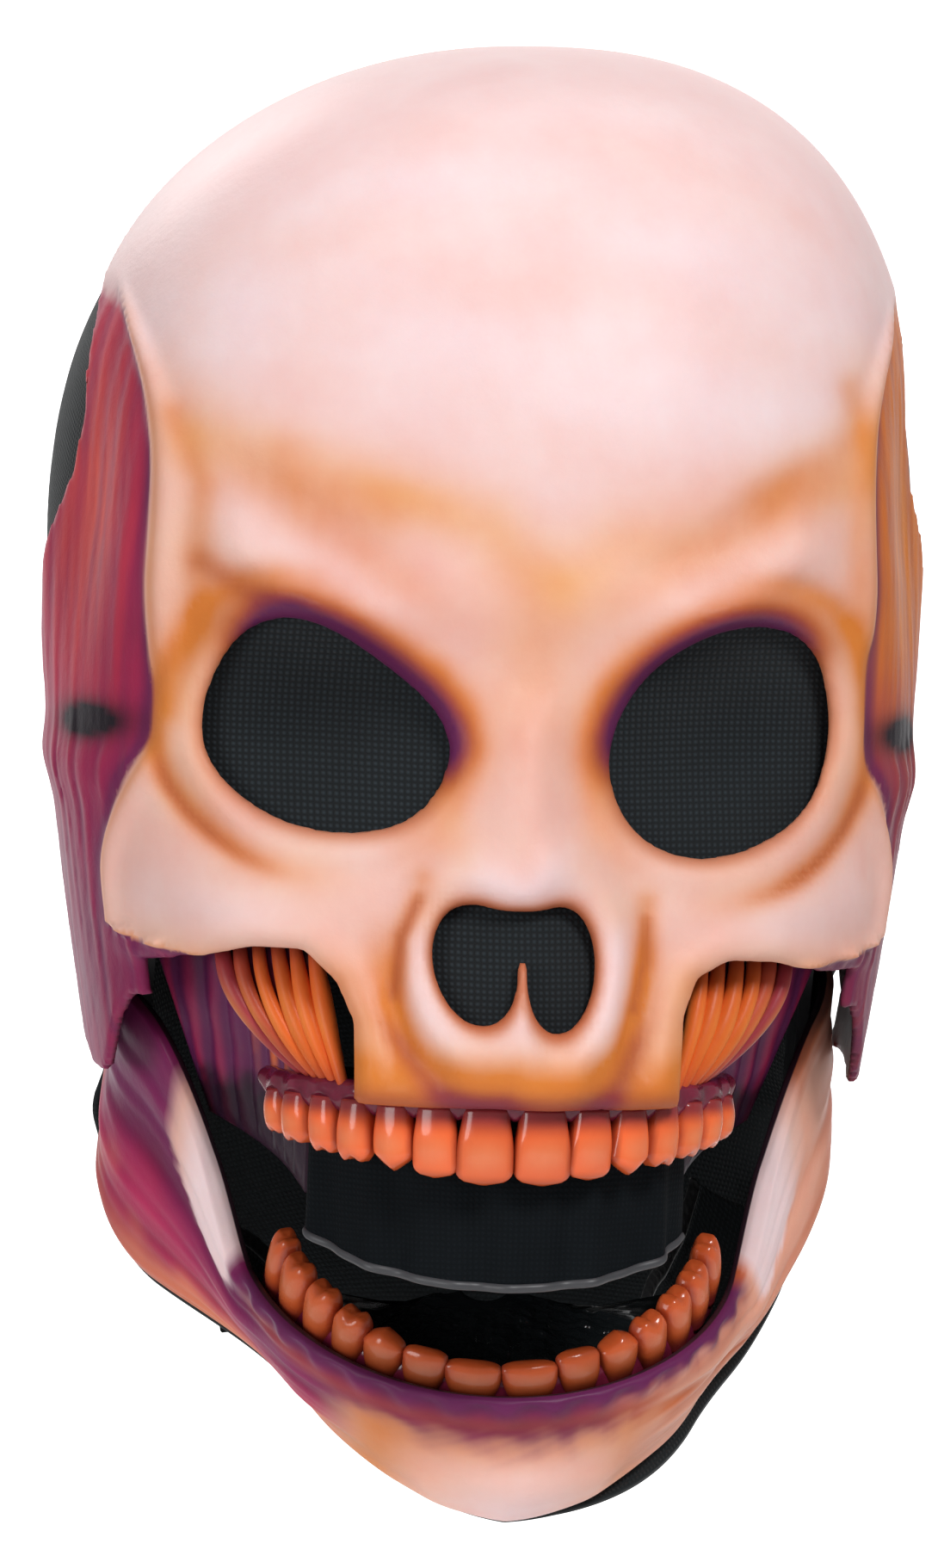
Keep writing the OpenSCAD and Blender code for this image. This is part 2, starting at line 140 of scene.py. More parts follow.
def line_distance(x, z, points):
    """Distance in a plane to a line through the points."""
    far = np.full(np.broadcast(x, z).shape, 1e9)
    for (ax, az), (bx, bz) in zip(points, points[1:]):
        ex, ez = bx - ax, bz - az
        t = np.clip(((x - ax) * ex + (z - az) * ez) / (ex * ex + ez * ez), 0, 1)
        far = np.minimum(far, np.hypot(x - ax - ex * t, z - az - ez * t))
    return far


def stroke(x, z, points, width):
    """Air-brush stroke along points: 1 on the line, fading over width."""
    return np.exp(-((line_distance(x, z, points) / width) ** 2))


# Holes in the front view. Each is the line that a disc of the given radius rolls along.
EYE_RIGHT = [(-53, 15), (-46, 17), (-33, 9), (-21.5, -0.5), (-22.5, -8), (-29, -14), (-45, -14),
             (-57, -6), (-58, 3)]
EYE_LEFT = [(50, 16.5), (57, 14), (59.5, 6), (60, -2), (57, -12), (46, -17.5), (36, -18.5), (28, -14),
            (25, -4), (31, 8), (41, 15)]
EYE_ROUND = 7.0


def rounded(corners, times=2):
    """The same ring of points with its corners cut."""
    for _ in range(times):
        ring = []
        for (ax, az), (bx, bz) in zip(corners, corners[1:] + corners[:1]):
            ring += [(ax + (bx - ax) * k, az + (bz - az) * k) for k in (0.25, 0.75)]
        corners = ring
    return corners


EYE_RIGHT, EYE_LEFT = rounded(EYE_RIGHT), rounded(EYE_LEFT)
UNDER_FACE = [(112, -50), (84, -51), (68, -50.5), (55, -47), (45, -46.5), (38.5, -50), (35.5, -58),
              (35, MAXILLA_Z), (-33, MAXILLA_Z), (-33.5, -60), (-37, -52), (-44, -45.5),
              (-54, -45.5), (-66, -49), (-75, -51.5), (-84, -51), (-112, -50), (-112, -140), (112, -140)]


def eye_distance(x, z):
    return np.minimum(polygon_distance(x, z, EYE_RIGHT), polygon_distance(x, z, EYE_LEFT)) - EYE_ROUND


def nose_distance(x, z):
    """Two leaning lobes that meet above the spike between them."""
    def lobe(cx, cz, rx, rz, lean):
        u, v = x - cx + lean * (z - cz), z - cz
        r = np.hypot(u / rx, v / rz)
        return (r - 1) * min(rx, rz)
    lobes = smooth_min(lobe(-9.2, -47.2, 8.4, 12.2, 0.12), lobe(8.8, -48.2, 7.2, 12.6, -0.06), 1.0)
    bridge = line_distance(x, z, [(-7, -40.5), (7, -40.5)]) - 4.6
    return smooth_min(lobes, bridge, 3)


def under_distance(x, z):
    return polygon_distance(x, z, UNDER_FACE)


def temple_front(z):
    """y of the front edge of the flesh at the side of the head."""
    upper = -60 + 40 * (np.clip((z - 25) / 63, -0.5, 1.1)) ** 4
    lower = -59 + 18 * smooth(-z, 0, 34) - 34 * smooth(-z, 44, 50)
    return np.where(z > 0, upper, lower)


def brow_line(a):
    """Height of the brow ridge at a sideways distance a from the middle."""
    return 8 + 0.62 * np.clip(a - 14, 0, 44)


def flesh_fibres(x, y, z):
    """Upright strands of the temple muscle, closer together towards the jaw: from -1 to 1."""
    spread = 0.60 + 0.40 * np.clip((z + 80) / 170, 0, 1)
    p = np.stack(np.broadcast_arrays(0.3 * x, (y + 20) / spread, 0.16 * z + 0.10 * y), -1)
    return np.clip(noise(p, 9.5, 12) * 1.5, -1, 1)


def relief(x, y, z):
    """How far the face stands out from the plain form, as in the CAD model."""
    a = np.abs(x)
    return smooth(-y, 20, 50) * (
        5 * bump(z, 27, 9) * bump(a, 34, 26)
        - 11 * bump(z, -1, 19) * bump(a, 41, 22)
        + 5 * bump(z, -18, 24) * bump(a, 0, 12)
        + 6 * bump(z, -50, 12) * bump(a, 0, 17)
        + 10.5 * smooth(-z, 42, 72) * bump(a, 0, 35)
        + 5 * bump(z, -37, 11) * bump(a, 58, 17)
    ) - 7 * bump(z, 44, 38) * bump(y, -28, 24) * smooth(a, 55, 80)


def form_sizes(z):
    """Half width, depth to the front and depth to the back of the head form at a height."""
    low = np.minimum(z, WIDEST_Z)
    drop = WIDEST_Z - low
    return (HEAD_W - 11 * (drop / 90) ** 1.3, HEAD_FRONT + 2 * bump(low, -40, 40),
            HEAD_BACK - 30 * (drop / 125) ** 1.5)


def crown_lean(z):
    """How far the crown leans towards +X at a height."""
    return CROWN_LEAN * (np.maximum(0, z - LEAN_FROM_Z) / (CROWN_Z - LEAN_FROM_Z)) ** 2


def rise(z, off=0.0):
    """Share of the way up the dome of the layer that lies off outside the form."""
    return np.maximum(0, z - WIDEST_Z) / (CROWN_Z - WIDEST_Z + off)


def form_base(x, y, z):
    """Distance outside the relief of the face, and the point of the plain form that belongs to x, y, z."""
    w, front, back = form_sizes(z)
    xs = x - crown_lean(z)
    total = np.abs(xs / w) ** POWER + np.abs(y / np.where(y < 0, front, back)) ** POWER + rise(z) ** POWER
    q = np.maximum(total, 1e-6) ** (1 / POWER)
    radius = np.sqrt(xs**2 + y**2 + np.maximum(0, z - WIDEST_Z) ** 2)
    on_form = xs / q, y / q, np.where(z > WIDEST_Z, WIDEST_Z + (z - WIDEST_Z) / q, z)
    return (q - 1) / q * radius - relief(*on_form), on_form


# ---------------------------------------------------------------- meshes


def make_object(name, verts, faces, material, smooth_shade=True, colours=None, weave=None):
    """A mesh object from points in millimetres."""
    mesh = bpy.data.meshes.new(name)
    verts = np.asarray(verts, float) * MM
    if isinstance(faces, np.ndarray):
        n, k = faces.shape
        mesh.vertices.add(len(verts))
        mesh.vertices.foreach_set("co", verts.ravel())
        mesh.loops.add(n * k)
        mesh.loops.foreach_set("vertex_index", faces.ravel())
        mesh.polygons.add(n)
        mesh.polygons.foreach_set("loop_start", np.arange(0, n * k, k))
        mesh.update(calc_edges=True)
    else:
        mesh.from_pydata(verts.tolist(), [], faces)
        mesh.update()
    mesh.validate()
    if smooth_shade:
        mesh.polygons.foreach_set("use_smooth", np.ones(len(mesh.polygons), bool))
    if colours is not None:
        layer = mesh.attributes.new("paint", "FLOAT_COLOR", "POINT")
        rgba = np.ones((len(verts), 4), np.float32)
        rgba[:, :3] = colours
        layer.data.foreach_set("color", rgba.ravel())
    if weave is not None:
        layer = mesh.uv_layers.new(name="weave")
        corner = np.zeros(len(mesh.loops), np.int32)
        mesh.loops.foreach_get("vertex_index", corner)
        layer.data.foreach_set("uv", (np.asarray(weave, float)[corner] * MM).ravel())
    obj = bpy.data.objects.new(name, mesh)
    bpy.context.scene.collection.objects.link(obj)
    obj.data.materials.append(material)
    return obj


def grid_faces(rows, columns, wrap_rows=False, wrap_columns=False, start=0):
    """Quads between a grid of points, row by row."""
    i = np.arange(rows if wrap_rows else rows - 1)
    j = np.arange(columns if wrap_columns else columns - 1)
    i, j = np.meshgrid(i, j, indexing="ij")
    ni, nj = (i + 1) % rows, (j + 1) % columns
    quad = [i * columns + j, i * columns + nj, ni * columns + nj, ni * columns + j]
    return np.stack(quad, -1).reshape(-1, 4) + start


def tube_faces(rows, columns):
    """Quads of a closed profile of rows, carried along the columns and closed at both ends."""
    k = np.arange(rows // 2 - 1)
    cap = np.stack([k, k + 1, rows - 2 - k, rows - 1 - k], -1) * columns
    return np.concatenate([grid_faces(rows, columns, wrap_rows=True), cap, cap[:, ::-1] + columns - 1])


def post_faces(rows, columns):
    """Quads of a stack of rings, closed at both ends."""
    j = np.arange(columns // 2 - 1)
    cap = np.stack([j, j + 1, columns - 2 - j, columns - 1 - j], -1)
    return np.concatenate([grid_faces(rows, columns, wrap_columns=True), cap + (rows - 1) * columns,
                           cap[:, ::-1]])


def spread(rows, columns, across, down):
    """Values over a grid: the first rises along a row, the second from row to row."""
    return np.meshgrid(np.linspace(*across, columns), np.linspace(*down, rows))


def sample(field, origin, pitch, points):
    """Field value at points, between the grid's own points."""
    g = (points - origin) / pitch
    g = np.clip(g, 0, np.array(field.shape) - 1.001)
    i = g.astype(int)
    f = g - i
    total = 0
    for dx in (0, 1):
        for dy in (0, 1):
            for dz in (0, 1):
                weight = (f[:, 0] if dx else 1 - f[:, 0]) * (f[:, 1] if dy else 1 - f[:, 1])
                weight = weight * (f[:, 2] if dz else 1 - f[:, 2])
                total = total + weight * field[i[:, 0] + dx, i[:, 1] + dy, i[:, 2] + dz]
    return total


def surface_net(field, origin, pitch, relax=2):
    """Points and quads of the surface where the field crosses zero. It is negative inside."""
    inside = field < 0
    shape = np.array(field.shape) - 1
    corners = [(dx, dy, dz) for dx in (0, 1) for dy in (0, 1) for dz in (0, 1)]

    def corner(array, c):
        return array[c[0]:c[0] + shape[0], c[1]:c[1] + shape[1], c[2]:c[2] + shape[2]]

    count = sum(corner(inside, c).astype(np.int8) for c in corners)
    cells = np.argwhere((count > 0) & (count < 8))
    number = np.full(shape, -1)
    number[tuple(cells.T)] = np.arange(len(cells))
    values = {c: field[tuple((cells + c).T)] for c in corners}
    total, hits = np.zeros((len(cells), 3)), np.zeros(len(cells))
    for a in corners:
        for axis in range(3):
            if a[axis]:
                continue
            b = tuple(1 if k == axis else a[k] for k in range(3))
            crossed = (values[a] < 0) != (values[b] < 0)
            t = np.where(crossed, values[a] / np.where(crossed, values[a] - values[b], 1), 0)
            point = np.array(a) + t[:, None] * np.eye(3)[axis]
            total += point * crossed[:, None]
            hits += crossed
    points = (cells + total / hits[:, None]) * pitch + origin
    quads = []
    for axis in range(3):
        u, v = (axis + 1) % 3, (axis + 2) % 3
        low = [slice(1, -1)] * 3
        high = [slice(1, -1)] * 3
        low[axis], high[axis] = slice(0, -1), slice(1, None)
        a, b = inside[tuple(low)], inside[tuple(high)]
        for first, edges in ((True, a & ~b), (False, ~a & b)):
            at = np.argwhere(edges) + 1
            at[:, axis] -= 1
            du, dv = np.eye(3, dtype=int)[u], np.eye(3, dtype=int)[v]
            ring = [at - du - dv, at - dv, at, at - du]
            ring = [number[tuple(r.T)] for r in ring]
            quads.append(np.stack(ring if first else ring[::-1], -1))
    quads = np.concatenate(quads)
    for _ in range(relax):
        pull, links = np.zeros_like(points), np.zeros(len(points))
        for k in range(4):
            a, b = quads[:, k], quads[:, (k + 1) % 4]
            for axis in range(3):
                pull[:, axis] += np.bincount(a, points[b, axis], len(points))
                pull[:, axis] += np.bincount(b, points[a, axis], len(points))
            links += np.bincount(a, minlength=len(points)) + np.bincount(b, minlength=len(points))
        points = mix(points, pull / links[:, None], 0.6)
        step = pitch * 0.5
        slope = np.stack([
            sample(field, origin, pitch, points + step * e) - sample(field, origin, pitch, points - step * e)
            for e in np.eye(3)], -1) / (2 * step)
        size = np.maximum((slope**2).sum(1), 0.2)
        points = points - slope * (sample(field, origin, pitch, points) / size)[:, None]
    return points, quads


def slope_size(field, pitch):
    parts = np.gradient(field, pitch)
    return np.sqrt(sum(p * p for p in parts))


# ---------------------------------------------------------------- materials


def new_material(name):
    material = bpy.data.materials.new(name)
    material.use_nodes = True
    nodes, links = material.node_tree.nodes, material.node_tree.links
    return material, nodes, links, nodes["Principled BSDF"]


def add(nodes, kind, **values):
    node = nodes.new(kind)
    for key, value in values.items():
        if key in node.inputs:
            node.inputs[key].default_value = value
        else:
            setattr(node, key, value)
    return node


def bump_from(nodes, links, shader, height, strength, distance, under=None):
    node = add(nodes, "ShaderNodeBump", Strength=strength, Distance=distance)
    links.new(height, node.inputs["Height"])
    if under is not None:
        links.new(under.outputs["Normal"], node.inputs["Normal"])
    links.new(node.outputs["Normal"], shader.inputs["Normal"])
    return node


def noise_from(nodes, links, place, scale, detail, **more):
    """A noise texture in the piece's own space."""
    node = add(nodes, "ShaderNodeTexNoise", Scale=scale, Detail=detail, **more)
    links.new(place.outputs["Object"], node.inputs["Vector"])
    return node.outputs["Fac"]


def ramp_from(nodes, links, share, colour, low, high):
    """A colour that a texture takes from low to high times itself."""
    ramp = nodes.new("ShaderNodeValToRGB")
    for element, k in zip(ramp.color_ramp.elements, (low, high)):
        element.color = (*[min(1, c * k) for c in colour], 1)
    links.new(share, ramp.inputs[0])
    return ramp.outputs[0]


def painted_latex(name, roughness, coat=0.0):
    """Air-brushed latex: the paint, painted shade and painted highlights included, is stored on the mesh,
    with mottling, pores and fine wrinkles here.
    """
    material, nodes, links, shader = new_material(name)
    paint = add(nodes, "ShaderNodeAttribute", attribute_name="paint")
    place = nodes.new("ShaderNodeTexCoord")
    cloud = noise_from(nodes, links, place, 38.0, 5.0, Roughness=0.6)
    mottle = add(nodes, "ShaderNodeMix", data_type="RGBA", blend_type="OVERLAY")
    mottle.inputs[0].default_value = 0.28
    links.new(paint.outputs["Color"], mottle.inputs[6])
    links.new(cloud, mottle.inputs[7])
    links.new(mottle.outputs[2], shader.inputs["Base Color"])
    speck = noise_from(nodes, links, place, 900.0, 3.0, Roughness=0.6)
    spread = add(nodes, "ShaderNodeMapRange")
    spread.inputs[3].default_value = roughness - 0.09
    spread.inputs[4].default_value = roughness + 0.12
    links.new(cloud, spread.inputs[0])
    links.new(spread.outputs[0], shader.inputs["Roughness"])
    wrinkle = noise_from(nodes, links, place, 120.0, 6.0, Roughness=0.65)
    first = bump_from(nodes, links, shader, wrinkle, 0.18, 0.0012)
    bump_from(nodes, links, shader, speck, 0.10, 0.0003, first)
    shader.inputs["Subsurface Weight"].default_value = 0.12
    shader.inputs["Subsurface Radius"].default_value = (0.004, 0.0015, 0.001)
    shader.inputs["Specular IOR Level"].default_value = 0.17
    shader.inputs["Coat Weight"].default_value = coat
    shader.inputs["Coat Roughness"].default_value = 0.12
    return material


def simple_material(name, colour, roughness, metallic=0.0, grain=900.0, grain_depth=0.00005, vary=0.12):
    """Moulded plastic, metal or foam: a colour with slight variation and a fine grain."""
    material, nodes, links, shader = new_material(name)
    place = nodes.new("ShaderNodeTexCoord")
    cloud = noise_from(nodes, links, place, 60.0, 4.0)
    links.new(ramp_from(nodes, links, cloud, colour, 1 - vary, 1 + vary), shader.inputs["Base Color"])
    bump_from(nodes, links, shader, noise_from(nodes, links, place, grain, 3.0), 0.4, grain_depth)
    shader.inputs["Roughness"].default_value = roughness
    shader.inputs["Metallic"].default_value = metallic
    return material


def knit_cloth(name, colour, pitch=0.0011, depth=0.00035, sheen=0.35, open_weave=0.3, shine=0.25):
    """Fine stretch knit: rows of stitches along the sheet's own two directions, over a slight mottling."""
    material, nodes, links, shader = new_material(name)
    place = nodes.new("ShaderNodeTexCoord")
    scale = 2 * math.pi / pitch / 20
    waves = []
    for way in ("X", "Y"):
        wave = add(nodes, "ShaderNodeTexWave", Scale=scale, Distortion=0.8)
        wave.bands_direction = way
        wave.inputs["Detail Scale"].default_value = 1.5
        links.new(place.outputs["UV"], wave.inputs["Vector"])
        waves.append(wave)
    weave = add(nodes, "ShaderNodeMath", operation="MULTIPLY")
    links.new(waves[0].outputs["Fac"], weave.inputs[0])
    links.new(waves[1].outputs["Fac"], weave.inputs[1])
    cloud = noise_from(nodes, links, place, 45.0, 5.0)
    tint = add(nodes, "ShaderNodeMix", data_type="RGBA", blend_type="MULTIPLY")
    tint.inputs[0].default_value = open_weave
    links.new(ramp_from(nodes, links, cloud, colour, 0.7, 1.4), tint.inputs[6])
    links.new(weave.outputs[0], tint.inputs[7])
    links.new(tint.outputs[2], shader.inputs["Base Color"])
    bump_from(nodes, links, shader, weave.outputs[0], 0.6, depth)
    shader.inputs["Roughness"].default_value = 0.85
    shader.inputs["Sheen Weight"].default_value = sheen
    shader.inputs["Sheen Roughness"].default_value = 0.5
    shader.inputs["Specular IOR Level"].default_value = shine
    return material


BLACK = (0.012, 0.016, 0.018)
SKULL_LATEX = painted_latex("skull_latex", 0.42)
JAW_LATEX = painted_latex("jaw_latex", 0.40)
TOOTH_PAINT = painted_latex("tooth_paint", 0.24, coat=0.6)
HOOD_CLOTH = knit_cloth("hood_cloth", BLACK, sheen=0.15)
SCRIM = knit_cloth("scrim", (0.020, 0.028, 0.034), pitch=0.0013, depth=0.0004, sheen=0.1, open_weave=0.75)


# ---------------------------------------------------------------- skull casting

WELL_INSIDE = -8.0  # field value that a cut leaves alone


def muscle_roots():
    """Flesh behind the strands under a cheekbone, as (start, end, bow, radius), on the +X side."""
    for k in range(5):
        share = k / 4
        start = (58 - 17 * share, -60.5 - 9 * share, -44.5)
        end = (40.5 - 5.5 * share, -68.5 - 11 * share, -71 - 2 * share)
        yield start, end, 3.5 - 3 * share, 2.0


def roots_distance(x, y, z):
    """Distance to that flesh on both sides, made of bowed tapering tubes."""
    far = np.full(np.broadcast(x, y, z).shape, 30.0, np.float32)
    for side in (-1, 1):
        for start, end, bow, radius in muscle_roots():
            steps = np.linspace(0, 1, 7)
            for t0, t1 in zip(steps, steps[1:]):
                def at(t):
                    p = mix(np.array(start), np.array(end), t)
                    return p + np.array([bow, -0.5 * bow, 0]) * math.sin(math.pi * t)
                a, b = at(t0), at(t1)
                e = b - a
                wx, wy, wz = side * x - a[0], y - a[1], z - a[2]
                t = np.clip((wx * e[0] + wy * e[1] + wz * e[2]) / (e @ e), 0, 1)
                r = radius * (0.75 + 0.35 * math.sin(math.pi * (t0 + t1) / 2))
                d = np.sqrt((wx - e[0] * t) ** 2 + (wy - e[1] * t) ** 2 + (wz - e[2] * t) ** 2) - r
                far = smooth_min(far, d, 1.0)
    return far


def skull_detail(x, y, z, eye, nose, under):
    """Fine relief that the CAD model leaves out, added to the outside only."""
    a = np.abs(x)
    front = smooth(-y, 30, 55)
    ridge = z - brow_line(a)
    face = (
        3.4 * bump(nose, 4.4, 4.2)
        - 1.3 * bump(nose, 11.5, 3.0) * smooth(-z, 38, 56)
        + 2.6 * bump(x, 1, 7) * smooth(z, -36, -24) * (1 - smooth(z, 0, 16))
        + 1.5 * bump(eye, 3.5, 3.2)
        - 1.0 * bump(eye, 10, 2.6) * smooth(a, 40, 62)
        + 2.4 * bump(ridge, 3, 6) * smooth(a, 9, 20) * (1 - smooth(a, 56, 70))
        - 1.3 * bump(ridge, 17, 5) * smooth(a, 6, 26) * (1 - smooth(a, 50, 70))
        - 1.6 * bump(x, 1, 4) * bump(z, 12, 9)
        + 1.8 * bump(under, 3.0, 3.6)
        + 1.0 * bump(a, 20, 3.2) * bump(z, -68, 7) + 0.9 * bump(a, 11, 3) * bump(z, -70, 6)
        + 0.9 * bump(x, 0, 2.6) * bump(z, -70, 6) + 0.9 * bump(a, 28, 3) * bump(z, -70, 6)
        - 1.2 * stroke(x, z, [(-20, -34), (-24.5, -42), (-25.5, -56), (-22, -66)], 2.2)
        - 1.2 * stroke(x, z, [(27, -36), (27, -46), (24, -58), (20, -66)], 2.2)
    )
    edge = y - temple_front(z)
    flesh = smooth(edge, -0.5, 3) * (1 - smooth(z, 84, 90))
    fibres = flesh_fibres(x, y, z)
    side = (
        2.0 * bump(edge, -3.5, 3.2) * (1 - smooth(z, 78, 92))
        - 1.0 * flesh
        + 0.40 * fibres * flesh
        - 3.2 * bump(y, -42, 9) * bump(z, -1, 4.5)
        + 1.6 * bump(z, -13, 7) * flesh
    )
    return face * front + side * smooth(a, 40, 62)


def build_skull():
    """The casting as the zero surface of a field on a grid: two layers, cut at the holes and edges."""
    pitch = 1.45
    origin = np.array([-101.0, -112.0, -83.0])
    steps = [int(v) for v in (np.array([101.0, 46.0, 143.0]) - origin) / pitch]
    x, y, z = np.ix_(*(o + pitch * np.arange(n) for o, n in zip(origin, steps)))
    base, on_form = form_base(x, y, z)
    eye, nose, under = eye_distance(x, z), nose_distance(x, z), under_distance(x, z)
    outer = base - smooth_max(skull_detail(*on_form, eye, nose, under), -0.8, 0.5) - 0.6
    base /= np.maximum(slope_size(base, pitch), 0.3)
    outer /= np.maximum(slope_size(outer, pitch), 0.3)
    shell = smooth_max(outer, -(base + LATEX), 0.8)
    front = y < -20
    shell = np.where(front, smooth_max(shell, -eye, 1.6), shell)
    shell = np.where(front, smooth_max(shell, -nose, 1.8), shell)
    shell = smooth_max(shell, np.where(y < SKIRT_Y, np.maximum(-under, WELL_INSIDE), WELL_INSIDE), 1.6)
    strands = np.maximum(roots_distance(x, y, z), base + 1.0)
    shell = smooth_min(shell, strands, 1.2)
    skirt = SKIRT_Z + 2 * np.sin(y * 0.11) + 15 * (1 - smooth(y, -48, -18))
    shell = smooth_max(shell, np.where(y >= SKIRT_Y, skirt - z, WELL_INSIDE), 1.2)
    shell = smooth_max(shell, polygon_distance(y, z, [(-200, -200)] + LATEX_EDGE + [(-200, 160)]), 1.2)
    points, quads = surface_net(shell, origin, pitch)
    obj = make_object("skull_casting", points, quads, SKULL_LATEX, colours=skull_paint_and_shade(points))
    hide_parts("skull_shell")
    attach(obj, "skull")


def blend_paint(colours, paint, mask):
    return colours + (np.array(paint) - colours) * np.clip(mask, 0, 1)[:, None]


def skull_paint_and_shade(p):
    """Air-brushed colours of the skull casting at its points, with painted shade in its hollows and on the
    wearer's right side.
    """
    x, y, z = p.T
    a = np.abs(x)
    inner = smooth(-form_base(x, y, z)[0], 1.7, 2.3)
    eye, nose, under = eye_distance(x, z), nose_distance(x, z), under_distance(x, z)
    front = smooth(-y, 35, 58)
    cloud = noise(p, 34, 3)
    fine = noise(p, 9, 4)
    c = np.tile(np.array(BONE), (len(p), 1))
    c = blend_paint(c, PALE, 0.75 * smooth(z, 20, 70) + 0.25 * cloud * front)
    ridge = z - brow_line(a)
    c = blend_paint(c, PALE, 0.8 * bump(ridge, 6, 8) * bump(a, 34, 22) * front)
    c = blend_paint(c, PALE, 0.8 * bump(nose, 4.5, 3.5) * front)
    c = blend_paint(c, PALE, 0.7 * bump(z, -36, 9) * bump(a, 60, 14) * front)
    # Broad peach shading, as if sprayed from a distance
    haze = (
        0.75 * stroke(x, z, [(-66, 62), (-57, 58), (-30, 51), (-8, 44), (4, 30)], 8)
        + 0.65 * stroke(x, z, [(78, 58), (66, 52), (44, 44), (20, 40), (8, 28)], 9)
        + 0.45 * stroke(x, z, [(-76, 70), (-70, 50), (-70, 30), (-68, 4), (-66, -16)], 7)
        + 0.45 * stroke(x, z, [(76, 74), (78, 50), (75, 24), (74, 0), (72, -14)], 8)
        + 0.45 * stroke(x, z, [(-16, -12), (-13, -26), (-19, -36)], 5)
        + 0.45 * stroke(x, z, [(17, -14), (14, -26), (20, -36)], 5)
        + 0.35 * bump(z, -30, 8) * smooth(a, 30, 46) * (1 - smooth(a, 58, 74))
        + 0.55 * bump(under, 1.5, 9) * smooth(-z, 38, 50)
        + 0.50 * smooth(-z, 56, 70)
    ) * front
    c = blend_paint(c, PEACH, haze * (0.85 + 0.35 * cloud))
    # Orange painted shade in the hollows of the bone
    shade = (
        0.30 * bump(ridge, 17, 6.5) * smooth(a, 8, 30) * (1 - smooth(a, 52, 74))
        + 0.35 * bump(x, 2, 13) * bump(z, 14, 18)
        + 0.85 * bump(eye, 0, 7) * smooth(ridge, -30, -4)
        + 0.55 * bump(eye, 9.5, 3.2) * smooth(a, 30, 62)
        + 0.35 * bump(eye, 4, 6) * bump(a, 18, 9)
        + 0.5 * bump(nose, 10.5, 3.6) * smooth(-z, 34, 50)
        + 0.45 * stroke(x, z, [(-20, -30), (-24.5, -42), (-25.5, -56), (-22, -68)], 2.8)
        + 0.45 * stroke(x, z, [(27, -34), (27, -46), (24, -58), (19, -68)], 2.8)
        + 0.4 * stroke(x, z, [(-72, 64), (-66, 50), (-67, 36), (-66, 20), (-71, 2)], 3.2)
        + 0.35 * stroke(x, z, [(70, 72), (74, 58), (72, 40), (73, 22), (76, 4)], 3.5)
        + 0.4 * stroke(x, z, [(-50, 56), (-44, 50), (-30, 46)], 6)
        + 0.35 * stroke(x, z, [(52, 50), (64, 56), (74, 62)], 7)
        + 0.7 * smooth(-z, 62, 73)
        + 0.45 * bump(under, 0, 5) * smooth(-z, 44, 52)
    ) * front
    c = blend_paint(c, ORANGE, 1.35 * shade * (0.92 + 0.10 * fine))
    # Darker still at the edges of the holes, under the brow, in the creases and along the edge above the
    # upper teeth: painted shade, with one more stroke above the eye on the wearer's right
    deep = (
        1.15 * bump(eye, 0.5, 5.0) * smooth(ridge, -24, -6)
        + 0.35 * bump(eye, 0, 2.4)
        + 0.45 * bump(eye, 10, 1.9) * smooth(a, 44, 64) * (1 - smooth(z, 4, 22))
        + 0.5 * bump(nose, 12, 2.6) * smooth(-z, 54, 64)
        + 0.5 * bump(nose, 0, 1.6)
        + 0.45 * stroke(x, z, [(-21, -34), (-24.5, -42), (-25.5, -54)], 1.6)
        + 0.4 * stroke(x, z, [(27, -38), (27, -46), (24.5, -56)], 1.6)
        + 0.5 * bump(z, MAXILLA_Z + 1, 3.4)
        + 0.35 * stroke(x, z, [(-66, 34), (-60, 30), (-48, 26)], 3.2) * smooth(-x, 20, 44)
    ) * front
    c = blend_paint(c, ORANGE, 1.8 * deep)
    c = blend_paint(c, RUST, 1.4 * deep**1.4)
    c = blend_paint(c, PURPLE, 0.6 * deep**2 + 0.6 * bump(eye, -0.5, 2.0) * smooth(ridge, -20, -8) * front)
    # Flesh at the temples and behind the cheekbones, lit and shaded: painted shade on the wearer's right,
    # painted light on the left
    edge = y - temple_front(z)
    side = smooth(a, 40, 62)
    c = blend_paint(c, ORANGE, 0.6 * bump(edge, -2.5, 2.6) * side * (1 - smooth(z, 80, 90)))
    flesh = smooth(edge, -0.6, 1.6) * (1 - smooth(z + 2 * fine, 84, 89)) * side
    fibres = 0.5 + 0.5 * flesh_fibres(x, y, z)
    # Painted shade and light: dark red-purple flesh on the wearer's right, the shaded side, and orange on the
    # left that darkens lower down; the hot middle is redder on the shaded side
    shaded_side = smooth(-x, -20, 20)[:, None]
    low_right = smooth(-z, -24, 10)[:, None]
    lit_side_meat = np.array((0.72, 0.18, 0.02)) * (1 - low_right) + np.array((0.42, 0.05, 0.05)) * low_right
    meat = np.array((0.46, 0.020, 0.085)) * shaded_side + lit_side_meat * (1 - shaded_side)
    glow = np.clip(bump(z, 40, 34) * bump(y, -26, 20) * (0.55 + 0.6 * fibres), 0, 1)[:, None]
    hot = np.array((0.78, 0.11, 0.06)) * shaded_side + np.array((0.78, 0.26, 0.04)) * (1 - shaded_side)
    meat = meat + (hot - meat) * glow * 0.8
    # Purple along the flesh's front edge, between the fibres and towards the bottom: painted shade in the
    # crease and the grooves, deepening downwards
    dim = 0.75 * bump(edge, 2.0, 3.0) + 0.62 * smooth(-z, -14, 40) + 0.35 * (1 - fibres) + 0.12 * cloud
    meat = meat + (np.array(PURPLE) - meat) * np.clip(dim, 0, 1)[:, None] * 0.85
    # Painted shade: near black in the groove across the temple flesh
    pit = np.clip(1.9 * bump(y, -33, 17) * bump(z + 0.06 * (y + 33), -2.5, 3.8), 0, 1)[:, None]
    meat = meat + (np.array(DARK) - meat) * pit
    c = c + (meat - c) * flesh[:, None]
